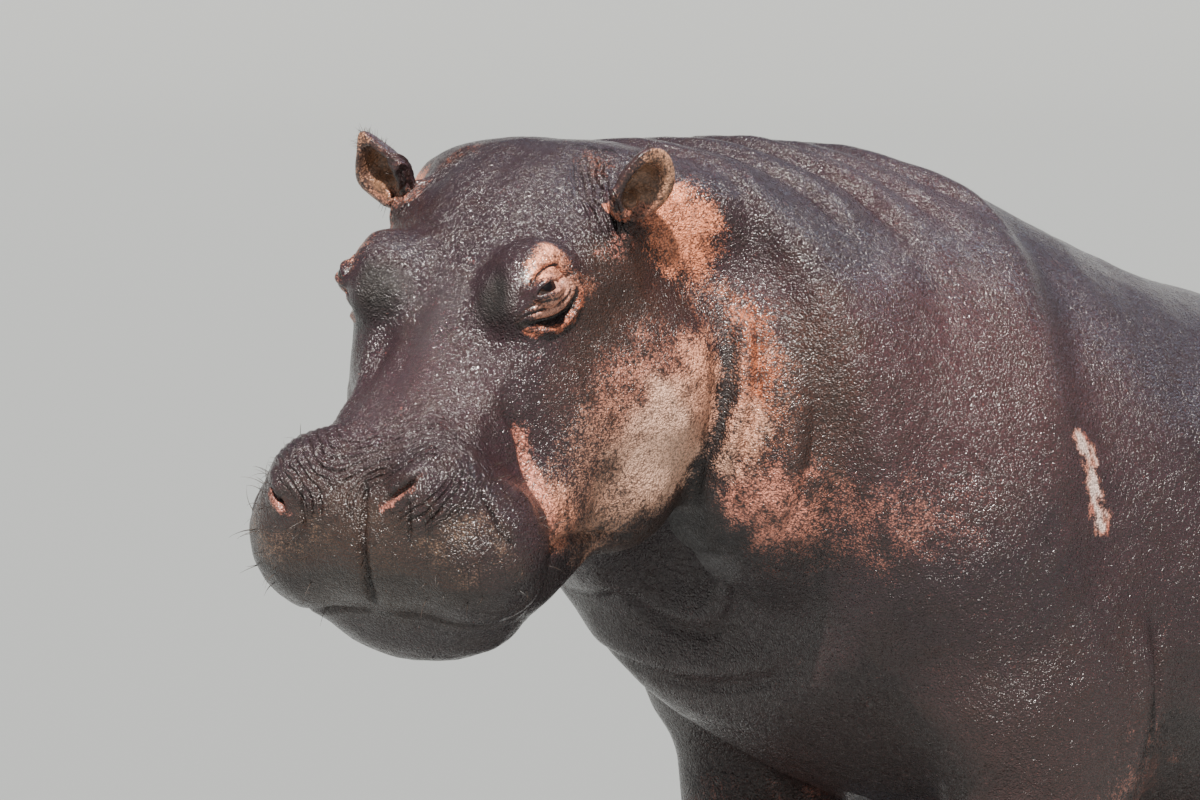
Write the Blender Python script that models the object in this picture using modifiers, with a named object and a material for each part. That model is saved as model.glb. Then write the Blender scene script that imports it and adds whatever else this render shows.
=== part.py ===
"""A life-size hippopotamus, standing square with its head low and turned to its left.

The body is blocked in from lofts and ellipsoids, fused to one surface and parted with thin cuts
into head, jaw, neck, trunk, tail, legs and feet. Eyes, ears and toenails are pieces of their own.
The floor is z = 0, the animal faces -Y and its left side is +X. Units are metres.
"""

from collections import namedtuple
from math import atan2, cos, pi, radians, sin

import bmesh
import bpy
from mathutils import Matrix, Vector

# ---- Driving dimensions ----
EYE_POINT = Vector((0.197, -1.507, 1.307))  # midway between the eyes
HEAD_YAW = radians(24)  # turned to the animal's left
HEAD_PITCH = radians(34)  # nose down
HEAD_TILT = radians(2)
EYE_SPREAD = 0.172  # half the distance between the eyeballs' centres
EYE_RADIUS = 0.026
EAR_SPREAD = 0.200
EAR_HALF_WIDTH, EAR_HALF_DEPTH, EAR_HALF_HEIGHT = 0.048, 0.027, 0.071
# The near ear turns to the left and is laid back, and the other one listens ahead.
EAR_LEAN = {"left": (24, 22, 50), "right": (27, 8, 0)}  # degrees outwards, back and turned outwards
FORELEG_X, FORELEG_Y = 0.345, -0.53
HINDLEG_X, HINDLEG_Y = 0.325, 0.98
TAIL_ROOT = Vector((0.0, 1.49, 0.97))
TAIL_LENGTH = 0.40
SOLE_SINK = 0.012  # how far the feet reach below the floor before they are cut flat
PART_GAP = 0.0005  # across the cuts between neighbouring solids
EDGE_GAP = 0.0004  # round what sits on the body, such as ears and nails
RING_SIDES = 40
BODY_TRIANGLES = 3650  # before it is parted
PLAIN_SHARE = 0.1  # how strongly the plain surfaces are thinned
HEAD = (
    Matrix.Translation(EYE_POINT)
    @ Matrix.Rotation(HEAD_YAW, 4, "Z")
    @ Matrix.Rotation(HEAD_PITCH, 4, "X")
    @ Matrix.Rotation(HEAD_TILT, 4, "Y")
)

# A ring of a loft: its centre, how far it rises, drops and spreads, and how its plane is turned.
Ring = namedtuple("Ring", "centre rise drop half_width pitch yaw")

# name: (colour, roughness)
SKINS = {
    "hide_dark": ((0.105, 0.078, 0.082), 0.5),
    "hide_pink": ((0.42, 0.23, 0.17), 0.55),
    "eye": ((0.02, 0.012, 0.008), 0.1),
    "nail": ((0.12, 0.095, 0.08), 0.45),
}


# ---- Scene and helpers ----
def clear_scene():
    for old in list(bpy.data.objects):
        bpy.data.objects.remove(old, do_unlink=True)


def make_collection(name):
    made = bpy.data.collections.new(name)
    bpy.context.scene.collection.children.link(made)
    return made


def make_material(name):
    colour, roughness = SKINS[name]
    material = bpy.data.materials.new(name)
    material.use_nodes = True
    shader = material.node_tree.nodes["Principled BSDF"]
    shader.inputs["Base Color"].default_value = (*colour, 1.0)
    shader.inputs["Roughness"].default_value = roughness
    return material


def add_object(name, bm, collection):
    """Turns a bmesh into an object of that collection and frees it."""
    bmesh.ops.recalc_face_normals(bm, faces=bm.faces)
    mesh = bpy.data.meshes.new(name)
    bm.to_mesh(mesh)
    bm.free()
    made = bpy.data.objects.new(name, mesh)
    collection.objects.link(made)
    return made


def add_form(name, bm):
    """A blocking form: it shapes the body but is never a part itself."""
    made = add_object(name, bm, FORMS)
    made.hide_render = True
    made.display_type = "WIRE"
    return made


def evaluated_mesh(obj):
    bpy.context.view_layer.update()
    graph = bpy.context.evaluated_depsgraph_get()
    return bpy.data.meshes.new_from_object(obj.evaluated_get(graph))


def settle(obj):
    """Applies an object's modifiers to its mesh."""
    mesh = evaluated_mesh(obj)
    obj.modifiers.clear()
    obj.data = mesh
    return obj


def catmull(before, start, end, after, t):
    """The Catmull-Rom spline through start and end, at t from 0 to 1."""
    return 0.5 * (
        2 * start
        + (end - before) * t
        + (2 * before - 5 * start + 4 * end - after) * t**2
        + (3 * start - before - 3 * end + after) * t**3
    )


def refine(rings, steps):
    """Adds rings between the given ones, on a smooth curve through each of their values."""
    ends = [rings[0], *rings, rings[-1]]
    fine = []
    for i in range(len(rings) - 1):
        for k in range(steps):
            near = ends[i : i + 4]
            fine.append(Ring(*(catmull(*values, k / steps) for values in zip(*near))))
    return fine + [rings[-1]]


def ring_points(ring, squareness=2.0, sides=RING_SIDES):
    """Points round a ring: a superellipse with its own height above and below the centre."""
    turn = Matrix.Rotation(ring.yaw, 3, "Z") @ Matrix.Rotation(ring.pitch, 3, "X")
    points = []
    for k in range(sides):
        angle = 2 * pi * k / sides
        across = abs(cos(angle)) ** (2 / squareness) * (1 if cos(angle) >= 0 else -1)
        along = abs(sin(angle)) ** (2 / squareness) * (1 if sin(angle) >= 0 else -1)
        height = ring.rise if along >= 0 else ring.drop
        points.append(ring.centre + turn @ Vector((across * ring.half_width, 0, along * height)))
    return points


def loft(name, rings, steps=4, squareness=2.0):
    """A closed skin over a row of rings."""
    bm = bmesh.new()
    rows = [
        [bm.verts.new(p) for p in ring_points(ring, squareness)]
        for ring in refine(rings, steps)
    ]
    for row, following in zip(rows, rows[1:]):
        for k in range(RING_SIDES):
            after = (k + 1) % RING_SIDES
            bm.faces.new((row[k], row[after], following[after], following[k]))
    bm.faces.new(rows[0])
    bm.faces.new(rows[-1])
    return add_form(name, bm)


def limb(name, joints):
    """A leg or tail: rings lie flat, and joints holds (x, y, z, half width, half length)."""
    rings = [
        Ring(Vector((x, y, z)), length, length, width, pi / 2, 0.0)
        for x, y, z, width, length in joints
    ]
    return loft(name, rings)


def ellipsoid(name, centre, radii, turn=(0, 0, 0), place=Matrix(), sides=32):
    """An ellipsoid of the given half sizes; turn is in degrees about x, y and z."""
    bm = bmesh.new()
    bmesh.ops.create_uvsphere(bm, u_segments=sides, v_segments=sides * 5 // 8, radius=1.0)
    rotation = Matrix.Identity(4)
    for angle, axis in zip(turn, "XYZ"):
        rotation = Matrix.Rotation(radians(angle), 4, axis) @ rotation
    shape = place @ Matrix.Translation(centre) @ rotation @ Matrix.Diagonal((*radii, 1.0))
    bmesh.ops.transform(bm, matrix=shape, verts=bm.verts)
    return add_form(name, bm)


def face(across, ahead, above):
    """A point of the head: across to its left, ahead towards the nose and above the eye line."""
    return Vector((across, -ahead, above))


def fuse(name, forms, voxel, rounds):
    """One closed surface round all the forms, with the junctions smoothed."""
    bm = bmesh.new()
    for form in forms:
        bm.from_mesh(form.data)
    fused = add_form(name, bm)
    remesh = fused.modifiers.new("Fuse", "REMESH")
    remesh.mode = "VOXEL"
    remesh.voxel_size = voxel
    smooth = fused.modifiers.new("Blend", "SMOOTH")
    smooth.factor = 0.5
    smooth.iterations = rounds
    return settle(fused)


def thin_out(obj, triangles):
    """Reduces a mesh to about that many triangles, and keeps the head and feet finer."""
    obj.data.calc_loop_triangles()
    group = obj.vertex_groups.new(name="plain")
    plain = [v.index for v in obj.data.vertices if v.co.y > -0.95 and v.co.z > 0.22]
    fine = [v.index for v in obj.data.vertices if v.co.y <= -0.95 or v.co.z <= 0.22]
    group.add(plain, 1.0, "REPLACE")
    group.add(fine, 0.5, "REPLACE")
    thin = obj.modifiers.new("Thin out", "DECIMATE")
    thin.ratio = triangles / len(obj.data.loop_triangles)
    thin.vertex_group = group.name
    thin.vertex_group_factor = PLAIN_SHARE
    settle(obj)
    obj.vertex_groups.clear()
    return obj


def cutter_box(name, low, high, place=Matrix(), grow=0.0):
    """A box to cut with, from its lowest to its highest corner in the frame of place."""
    margin = Vector((grow, grow, grow))
    low, high = Vector(low) - margin, Vector(high) + margin
    bm = bmesh.new()
    bmesh.ops.create_cube(bm, size=1.0)
    shape = place @ Matrix.Translation((low + high) / 2) @ Matrix.Diagonal((*(high - low), 1.0))
    bmesh.ops.transform(bm, matrix=shape, verts=bm.verts)
    made = add_object(name, bm, CUTTERS)
    made.hide_render = True
    made.display_type = "WIRE"
    return made


def keep_largest(obj):
    """Drops the crumbs that a cut can leave beside the piece itself."""
    bm = bmesh.new()
    bm.from_mesh(obj.data)
    unseen = set(bm.verts)
    islands = []
    while unseen:
        island = set()
        edge = {unseen.pop()}
        while edge:
            island |= edge
            edge = {link.other_vert(vert) for vert in edge for link in vert.link_edges} - island
        unseen -= island
        islands.append(island)
    crumbs = [vert for island in sorted(islands, key=len)[:-1] for vert in island]
    bmesh.ops.delete(bm, geom=crumbs, context="VERTS")
    bm.to_mesh(obj.data)
    bm.free()


def boolean(obj, cutter, operation):
    step = obj.modifiers.new(operation.title(), "BOOLEAN")
    step.operation = operation
    step.object = cutter
    return settle(obj)


def copy_part(name, source, collection):
    made = bpy.data.objects.new(name, source.data.copy())
    collection.objects.link(made)
    return made


def part_off(name, source, low, high, place=Matrix()):
    """Cuts the box's contents out of source as a new part, and leaves a thin gap round it."""
    piece = copy_part(name, source, PARTS)
    boolean(piece, cutter_box(name + "_inside", low, high, place), "INTERSECT")
    keep_largest(piece)
    boolean(source, cutter_box(name + "_outside", low, high, place, PART_GAP), "DIFFERENCE")
    return piece


def swollen(source, by):
    """A helper copy of source, grown by a small distance, to cut a neighbour with clearance."""
    grown = copy_part(source.name + "_swollen", source, CUTTERS)
    grown.hide_render = True
    grown.display_type = "WIRE"
    push = grown.modifiers.new("Swell", "DISPLACE")
    push.strength = by
    push.mid_level = 0.0
    return settle(grown)


# ---- Trunk and neck ----
def head_ring(ahead, top, level, bottom, half_width):
    """A ring square to the head's length, widest at the given level."""
    centre = HEAD @ face(0, ahead, level)
    return Ring(centre, top - level, level - bottom, half_width, HEAD_PITCH, HEAD_YAW)


def make_trunk():
    """The barrel and neck, from the rump to the back of the head."""

    def ring(y, level, top, bottom, half_width, x=0.0, pitch=0.0, yaw=0.0):
        rise, drop = top - level, level - bottom
        return Ring(Vector((x, y, level)), rise, drop, half_width, radians(pitch), radians(yaw))

    rings = [
        ring(1.53, 0.84, 0.95, 0.73, 0.09),
        ring(1.48, 0.84, 1.06, 0.61, 0.26),
        ring(1.35, 0.81, 1.165, 0.48, 0.41),
        ring(1.14, 0.77, 1.225, 0.37, 0.50),
        ring(0.84, 0.73, 1.225, 0.295, 0.565),
        ring(0.50, 0.71, 1.19, 0.265, 0.595),
        ring(0.20, 0.72, 1.20, 0.265, 0.595),
        ring(-0.10, 0.78, 1.275, 0.285, 0.57),
        ring(-0.34, 0.85, 1.38, 0.33, 0.54),
        ring(-0.56, 0.93, 1.478, 0.40, 0.515),
        ring(-0.80, 1.01, 1.504, 0.50, 0.475, x=0.015, pitch=5, yaw=4),
        ring(-0.98, 1.08, 1.524, 0.61, 0.430, x=0.048, pitch=13, yaw=11),
        head_ring(-0.40, 0.0, -0.16, -0.47, 0.335),
        head_ring(-0.29, 0.054, -0.14, -0.44, 0.255),
        head_ring(-0.20, 0.03, -0.13, -0.38, 0.19),
    ]
    return loft("barrel", rings, squareness=2.15)


def make_shoulders_and_haunches():
    forms = [
        ellipsoid("neck_left", (0.225, -0.95, 1.05), (0.19, 0.15, 0.29), (16, 0, 10)),
        ellipsoid("neck_right", (-0.16, -0.97, 1.03), (0.19, 0.20, 0.28), (18, 0, 12)),
    ]
    for side in (1, -1):
        forms += [
            ellipsoid("shoulder", (side * 0.38, -0.60, 1.02), (0.16, 0.22, 0.40), (6, side * -13, 0)),
            ellipsoid("upper_arm", (side * 0.39, -0.48, 0.66), (0.17, 0.24, 0.27)),
            ellipsoid("haunch", (side * 0.35, 1.00, 0.80), (0.24, 0.34, 0.38)),
            ellipsoid("thigh", (side * 0.39, 0.90, 0.54), (0.18, 0.26, 0.26), (-14, 0, 0)),
        ]
    return forms


# ---- Legs ----
def make_legs():
    forms = []
    for side in (1, -1):
        x, y = side * FORELEG_X, FORELEG_Y
        foreleg = [
            (x + side * 0.02, y + 0.08, 0.72, 0.18, 0.22),
            (x + side * 0.03, y + 0.08, 0.52, 0.158, 0.185),
            (x + side * 0.02, y + 0.045, 0.37, 0.135, 0.150),
            (x + side * 0.01, y + 0.012, 0.25, 0.113, 0.118),
            (x, y, 0.17, 0.112, 0.115),
            (x, y - 0.015, 0.10, 0.124, 0.128),
            (x, y - 0.02, -SOLE_SINK, 0.134, 0.138),
        ]
        x, y = side * HINDLEG_X, HINDLEG_Y
        hindleg = [
            (x + side * 0.03, y - 0.05, 0.70, 0.20, 0.27),
            (x + side * 0.06, y - 0.09, 0.50, 0.162, 0.205),
            (x + side * 0.035, y + 0.005, 0.36, 0.124, 0.150),
            (x + side * 0.01, y + 0.075, 0.25, 0.100, 0.120),
            (x, y + 0.060, 0.17, 0.100, 0.110),
            (x, y + 0.030, 0.10, 0.113, 0.120),
            (x, y + 0.02, -SOLE_SINK, 0.123, 0.128),
        ]
        forms += [limb("foreleg_form", foreleg), limb("hindleg_form", hindleg)]
    return forms


TOES = ((-68, 0.92), (-24, 1.05), (22, 1.05), (64, 0.94))  # degrees from ahead, relative size
PAD_HALF, PAD_LEVEL = Vector((0.138, 0.142, 0.08)), 0.035
TOE_HALF, TOE_LEVEL, TOE_REACH = Vector((0.046, 0.062, 0.056)), 0.034, 0.104
NAIL_HALF, NAIL_LEVEL, NAIL_REACH = Vector((0.030, 0.026, 0.027)), 0.033, 0.145


def feet():
    """(name, side, centre, size) of each foot."""
    for side, hand in ((1, "left"), (-1, "right")):
        yield "forefoot_" + hand, side, Vector((side * FORELEG_X, FORELEG_Y - 0.03, 0)), 1.0
        yield "hindfoot_" + hand, side, Vector((side * HINDLEG_X, HINDLEG_Y + 0.01, 0)), 0.92


def toe_directions(side):
    """(unit vector, size) for each toe, from the inner one to the outer one."""
    for degrees, size in TOES:
        angle = radians(degrees)
        yield Vector((side * sin(angle), -cos(angle), 0)), size


def heading(ahead):
    """The turn about z, in degrees, that takes -Y to that direction."""
    return atan2(ahead.x, -ahead.y) * 180 / pi


def make_toes():
    forms = []
    for name, side, centre, scale in feet():
        pad = (PAD_HALF.x * scale, PAD_HALF.y * scale, PAD_HALF.z)
        forms.append(ellipsoid("pad", centre + Vector((0, 0, PAD_LEVEL)), pad))
        for ahead, size in toe_directions(side):
            place = centre + ahead * TOE_REACH * scale + Vector((0, 0, TOE_LEVEL))
            radii = (TOE_HALF.x * size * scale, TOE_HALF.y * size * scale, TOE_HALF.z)
            forms.append(ellipsoid("toe", place, radii, (0, 0, heading(ahead))))
    return forms


def make_nails(foot_of):
    """A blunt hoof-like nail set in the tip of each toe."""
    for name, side, centre, scale in feet():
        for number, (ahead, size) in enumerate(toe_directions(side), 1):
            place = centre + ahead * NAIL_REACH * scale + Vector((0, 0, NAIL_LEVEL))
            turn = (0, 0, heading(ahead))
            form = ellipsoid("nail_form", place, (NAIL_HALF.x * size, *NAIL_HALF.yz), turn, sides=8)
            nail = copy_part(f"nail_{name}_{number}", form, PARTS)
            nail.data.materials.append(MATERIALS["nail"])
            boolean(foot_of[name], swollen(nail, EDGE_GAP), "DIFFERENCE")
        keep_largest(foot_of[name])


# ---- Tail ----
def make_tail():
    """A short tail, thick at the root, that hangs close to the rump and flattens at its end."""
    joints = []
    for share, width, length in (
        (-0.12, 0.075, 0.075),
        (0.0, 0.068, 0.060),
        (0.15, 0.055, 0.048),
        (0.40, 0.034, 0.036),
        (0.70, 0.020, 0.032),
        (0.92, 0.012, 0.034),
        (1.0, 0.008, 0.022),
    ):
        y = TAIL_ROOT.y + 0.105 * sin(min(share, 1.0) * pi / 2)
        joints.append((0.0, y, TAIL_ROOT.z - share * TAIL_LENGTH, width, length))
    return limb("tail_form", joints)


# ---- Head ----
def make_head_forms():
    """The skull's mass, snout, lip pads, orbits, nostril mounds, jowls and jaw."""
    rings = [
        head_ring(-0.27, 0.056, -0.12, -0.42, 0.214),
        head_ring(-0.20, 0.056, -0.12, -0.44, 0.208),
        head_ring(-0.12, 0.040, -0.12, -0.42, 0.200),
        head_ring(-0.04, 0.012, -0.12, -0.38, 0.182),
        head_ring(0.04, -0.020, -0.14, -0.36, 0.162),
        head_ring(0.12, -0.045, -0.16, -0.34, 0.146),
        head_ring(0.20, -0.063, -0.17, -0.34, 0.146),
        head_ring(0.28, -0.080, -0.18, -0.34, 0.170),
        head_ring(0.35, -0.108, -0.20, -0.33, 0.195),
        head_ring(0.41, -0.160, -0.23, -0.31, 0.170),
        head_ring(0.435, -0.21, -0.25, -0.29, 0.08),
    ]
    forms = [loft("skull", rings, squareness=2.15)]

    def lump(name, across, ahead, above, radii, turn=(0, 0, 0)):
        for side in (1, -1) if across else (1,):
            tilt = (turn[0], side * turn[1], side * turn[2])
            forms.append(ellipsoid(name, face(side * across, ahead, above), radii, tilt, HEAD))

    lump("lip_roll", 0, 0.340, -0.235, (0.240, 0.105, 0.130))
    lump("lip_pad", 0.135, 0.325, -0.250, (0.122, 0.118, 0.135))
    lump("nostril_mound", 0.108, 0.325, -0.135, (0.085, 0.085, 0.072), (18, 0, -12))
    lump("orbit", 0.128, -0.028, -0.012, (0.074, 0.096, 0.064), (0, 0, -8))
    lump("cheekbone", 0.125, -0.01, -0.14, (0.080, 0.16, 0.10), (0, 0, -10))
    lump("temple", 0.145, -0.13, -0.13, (0.085, 0.15, 0.12))
    lump("masseter", 0.148, -0.145, -0.29, (0.140, 0.200, 0.190))
    lump("cheek", 0.140, -0.02, -0.26, (0.105, 0.19, 0.16), (0, 0, -8))
    lump("jowl", 0.155, -0.05, -0.40, (0.100, 0.15, 0.130), (-18, 0, 0))
    lump("mouth_corner", 0.120, 0.13, -0.31, (0.092, 0.15, 0.100), (0, 0, -4))
    lump("jaw", 0.085, 0.13, -0.385, (0.105, 0.28, 0.098), (-4, 0, 0))
    lump("chin", 0, 0.315, -0.385, (0.180, 0.098, 0.088))
    lump("throat", 0, -0.13, -0.42, (0.18, 0.25, 0.13), (-8, 0, 0))
    lump("ear_root", 0.165, -0.215, -0.040, (0.056, 0.062, 0.056))
    return forms


def eye_centre(side):
    return HEAD @ face(side * EYE_SPREAD, -0.004, 0.0)


def make_eyes(head):
    """Eyeballs in sockets that clear them by the parting gap."""
    for side, hand in ((1, "left"), (-1, "right")):
        bm = bmesh.new()
        place = Matrix.Translation(eye_centre(side)) @ HEAD.to_3x3().to_4x4()
        bmesh.ops.create_uvsphere(bm, u_segments=12, v_segments=8, radius=EYE_RADIUS, matrix=place)
        eye = add_object("eye_" + hand, bm, PARTS)
        eye.data.materials.append(MATERIALS["eye"])
        boolean(head, swollen(eye, PART_GAP), "DIFFERENCE")
        keep_largest(head)


def make_ear(side, hand, against):
    """A small rounded cup on a thick stalk, open outwards and forwards, trimmed to the head."""
    outwards, back, turned = EAR_LEAN[hand]
    bm = bmesh.new()
    bmesh.ops.create_uvsphere(bm, u_segments=14, v_segments=10, radius=1.0)
    for vert in bm.verts:
        across, depth, height = vert.co
        spread = 0.76 + 0.24 * min(1.0, height + 1)
        hollow = 1.55 * max(0.0, -depth) * max(0.0, 1 - (across / 0.92) ** 2) * (1 - 0.25 * height)
        curl = 0.016 * across**2
        vert.co = Vector((
            across * spread * EAR_HALF_WIDTH,
            (depth + hollow) * EAR_HALF_DEPTH - curl,
            height * EAR_HALF_HEIGHT,
        ))
    root = HEAD @ Matrix.Translation(face(side * EAR_SPREAD, -0.225, -0.020))
    lean = Matrix.Rotation(radians(side * outwards), 4, "Y") @ Matrix.Rotation(radians(-back), 4, "X")
    spin = Matrix.Rotation(radians(side * turned), 4, "Z")
    shape = root @ lean @ spin @ Matrix.Translation((0, 0, EAR_HALF_HEIGHT - 0.004))
    bmesh.ops.transform(bm, matrix=shape, verts=bm.verts)
    ear = add_object("ear_" + hand, bm, PARTS)
    boolean(ear, against, "DIFFERENCE")
    keep_largest(ear)
    ear.data.materials.append(MATERIALS["hide_pink"])


# ---- Assembly ----
def make_body():
    """The whole animal as one surface, flat-footed on the floor."""
    large = [make_trunk(), *make_shoulders_and_haunches()]
    trunk = fuse("trunk_mass", large, 0.026, 12)
    legs = fuse("leg_mass", make_legs(), 0.018, 3)
    head = fuse("head_mass", make_head_forms(), 0.012, 9)
    rough = fuse("rough_body", [trunk, legs, head, make_tail()], 0.014, 8)
    body = fuse("body", [rough, *make_toes()], 0.0095, 4)
    thin_out(body, BODY_TRIANGLES)
    boolean(body, cutter_box("floor", (-2, -3, -1), (2, 3, 0)), "DIFFERENCE")
    return body


def divide(body):
    """Parts the body into its nodes with thin cuts."""
    feet_made = {}
    for name, _, centre, _ in feet():
        low, high = centre + Vector((-0.26, -0.26, -0.05)), centre + Vector((0.26, 0.26, 0.15))
        feet_made[name] = part_off(name, body, low, high)
    for side, hand in ((1, "left"), (-1, "right")):
        groin = Matrix.Translation((side * 0.13, 0, 0.42)) @ Matrix.Rotation(radians(side * -12), 4, "Y")
        inner, outer = sorted((side * -0.05, side * 0.60))
        part_off("foreleg_" + hand, body, (inner, -0.80, -0.6), (outer, -0.22, 0.03), groin)
        part_off("hindleg_" + hand, body, (inner, 0.62, -0.6), (outer, 1.25, 0.02), groin)
    part_off("tail", body, (-0.10, TAIL_ROOT.y + 0.045, 0.4), (0.10, 2.0, 1.2))
    jaw_place = HEAD @ Matrix.Translation(face(0, 0, -0.315)) @ Matrix.Rotation(radians(-3), 4, "X")
    part_off("lower_jaw", body, face(-0.5, 0.7, -0.5), face(0.5, 0.02, 0.0), jaw_place)
    head = part_off("head", body, face(-0.5, 0.7, -0.62), face(0.5, -0.29, 0.3), HEAD)
    neck_place = Matrix.Translation((0, -0.80, 1.0)) @ Matrix.Rotation(radians(10), 4, "X")
    part_off("neck", body, (-0.8, -0.9, -0.62), (0.8, 0, 0.8), neck_place)
    keep_largest(copy_part("trunk", body, PARTS))
    return head, feet_made


def centre_on_origin():
    """Moves every part so that the origin is under the middle of the whole animal's box."""
    corners = [vert.co for part in PARTS.objects for vert in part.data.vertices]
    middle = [(min(c[i] for c in corners) + max(c[i] for c in corners)) / 2 for i in (0, 1)]
    shift = Matrix.Translation((-middle[0], -middle[1], 0))
    for part in PARTS.objects:
        part.data.transform(shift)


clear_scene()
PARTS = make_collection("hippopotamus")
FORMS = make_collection("blocking_forms")
CUTTERS = make_collection("cutters")
MATERIALS = {name: make_material(name) for name in SKINS}
whole = make_body()
head_part, foot_parts = divide(whole)
make_eyes(head_part)
make_nails(foot_parts)
head_edge = swollen(head_part, EDGE_GAP)
for ear_side, ear_hand in ((1, "left"), (-1, "right")):
    make_ear(ear_side, ear_hand, head_edge)
for part in PARTS.objects:
    if not part.data.materials:
        part.data.materials.append(MATERIALS["hide_dark"])
centre_on_origin()
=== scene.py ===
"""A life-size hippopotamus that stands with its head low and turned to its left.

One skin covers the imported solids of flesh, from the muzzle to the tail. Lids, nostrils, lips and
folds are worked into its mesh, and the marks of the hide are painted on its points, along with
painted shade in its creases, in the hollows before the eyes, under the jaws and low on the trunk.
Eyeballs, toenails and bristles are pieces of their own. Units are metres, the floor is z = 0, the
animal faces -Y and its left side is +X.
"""

from math import cos, pi, radians, sin

import bmesh
import bpy
import numpy as np
from mathutils import Matrix, Vector
from mathutils.bvhtree import BVHTree


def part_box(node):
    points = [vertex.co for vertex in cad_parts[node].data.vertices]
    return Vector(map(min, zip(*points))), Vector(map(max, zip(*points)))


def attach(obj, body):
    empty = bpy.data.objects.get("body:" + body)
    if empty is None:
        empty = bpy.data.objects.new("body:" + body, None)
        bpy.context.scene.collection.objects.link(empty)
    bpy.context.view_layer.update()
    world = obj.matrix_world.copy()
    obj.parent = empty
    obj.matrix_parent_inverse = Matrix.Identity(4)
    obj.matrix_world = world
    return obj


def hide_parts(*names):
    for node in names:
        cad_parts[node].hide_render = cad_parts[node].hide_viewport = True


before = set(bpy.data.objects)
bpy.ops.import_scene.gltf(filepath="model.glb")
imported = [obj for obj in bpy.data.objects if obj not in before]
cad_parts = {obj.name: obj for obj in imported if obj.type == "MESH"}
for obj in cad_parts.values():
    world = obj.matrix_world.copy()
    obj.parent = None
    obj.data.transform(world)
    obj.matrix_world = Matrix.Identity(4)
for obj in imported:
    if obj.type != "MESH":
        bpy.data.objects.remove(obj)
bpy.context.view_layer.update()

# ---- Driving measures ----
SIDES = ((1, "left"), (-1, "right"))
FEET = ["forefoot_left", "forefoot_right", "hindfoot_left", "hindfoot_right"]
LEGS = ["foreleg_left", "foreleg_right", "hindleg_left", "hindleg_right"]
NAILS = [f"nail_{foot}_{number}" for foot in FEET for number in range(1, 5)]
FLESH = ["head", "lower_jaw", "neck", "trunk", "tail", *LEGS, *FEET]
PLUMP = 0.0007  # closes the thin cuts between the solids
VOXEL = 0.007
SKIN_TRIANGLES = 194000  # all of the skin
BODY_TRIANGLES = 60000  # what the body keeps of them
WAVES = 9  # how many waves make up one unevenness
NAIL_GROWTH, NAIL_LIFT = 1.10, 0.001
HAIR_STEPS = 5
HAIR_PATCH = 0.003  # a hair's share of the map
FLOOR_RADIUS, SWEEP_RADIUS = 26.0, 8.0
HEAD_TURN = (
    Matrix.Rotation(radians(24), 3, "Z")
    @ Matrix.Rotation(radians(34), 3, "X")
    @ Matrix.Rotation(radians(2), 3, "Y")
)


def middle(node):
    low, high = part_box(node)
    return (low + high) / 2


EYES = {side: middle("eye_" + hand) for side, hand in SIDES}
EYE_RADIUS = 0.026
EYE_BACK = 0.004  # how far the eyeballs sit behind the head's own origin
HEAD_POINT = (EYES[1] + EYES[-1]) / 2 - HEAD_TURN @ Vector((0, EYE_BACK, 0))
HEAD = Matrix.Translation(HEAD_POINT) @ HEAD_TURN.to_4x4()
EAR_ROOT = (0.200, -0.225, -0.020)
EAR_HALF = Vector((0.051, 0.026, 0.073))
EAR_LEAN = {1: (36, 22, 46), -1: (27, 8, 0)}  # degrees outwards, back and turned outwards
EAR_TIP = {1: 1.0, -1: 0.45}  # the far ear listens ahead and is drawn to a point


def face(across, ahead, above):
    """A point by the head's own measures: across to its left, ahead to the nose, above the eyes."""
    return HEAD @ Vector((across, -ahead, above))


# ---- Mesh helpers ----
def new_object(name, bm):
    mesh = bpy.data.meshes.new(name)
    bm.to_mesh(mesh)
    bm.free()
    made = bpy.data.objects.new(name, mesh)
    bpy.context.scene.collection.objects.link(made)
    return made


def merged_copy(node):
    """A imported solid's mesh with its loose triangles joined."""
    piece = bmesh.new()
    piece.from_mesh(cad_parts[node].data)
    bmesh.ops.remove_doubles(piece, verts=piece.verts, dist=1e-6)
    return piece


def join_meshes(whole, piece):
    """Adds one bmesh to another and frees it."""
    carrier = bpy.data.meshes.new("carrier")
    piece.to_mesh(carrier)
    piece.free()
    whole.from_mesh(carrier)
    bpy.data.meshes.remove(carrier)


def settle(obj):
    """Applies an object's modifiers to its mesh."""
    bpy.context.view_layer.update()
    graph = bpy.context.evaluated_depsgraph_get()
    mesh = bpy.data.meshes.new_from_object(obj.evaluated_get(graph))
    obj.modifiers.clear()
    obj.data = mesh


def smoothstep(low, high, value):
    t = np.clip((value - low) / (high - low), 0.0, 1.0)
    return t * t * (3 - 2 * t)


def waves(points, length, seed):
    """Smooth unevenness from -1 to 1 whose lumps are about that length."""
    rng = np.random.default_rng(seed)
    total = np.zeros(len(points))
    for _ in range(WAVES):
        way = rng.normal(size=3)
        way *= 2 * pi * rng.uniform(0.6, 1.5) / (length * np.linalg.norm(way))
        total += np.sin(points @ way + rng.uniform(0, 2 * pi))
    return np.clip(total / np.sqrt(WAVES), -2, 2) / 2


def rounded_path(corners, steps=8):
    """Points on the Catmull-Rom curve through the corners."""
    knots = np.array([corners[0], *corners, corners[-1]], float)
    found = []
    for i in range(len(corners) - 1):
        before, start, end, after = knots[i : i + 4]
        for k in range(steps):
            t = k / steps
            found.append(
                0.5
                * (
                    2 * start
                    + (end - before) * t
                    + (2 * before - 5 * start + 4 * end - after) * t**2
                    + (3 * start - before - 3 * end + after) * t**3
                )
            )
    return np.array([*found, knots[-1]])


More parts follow.
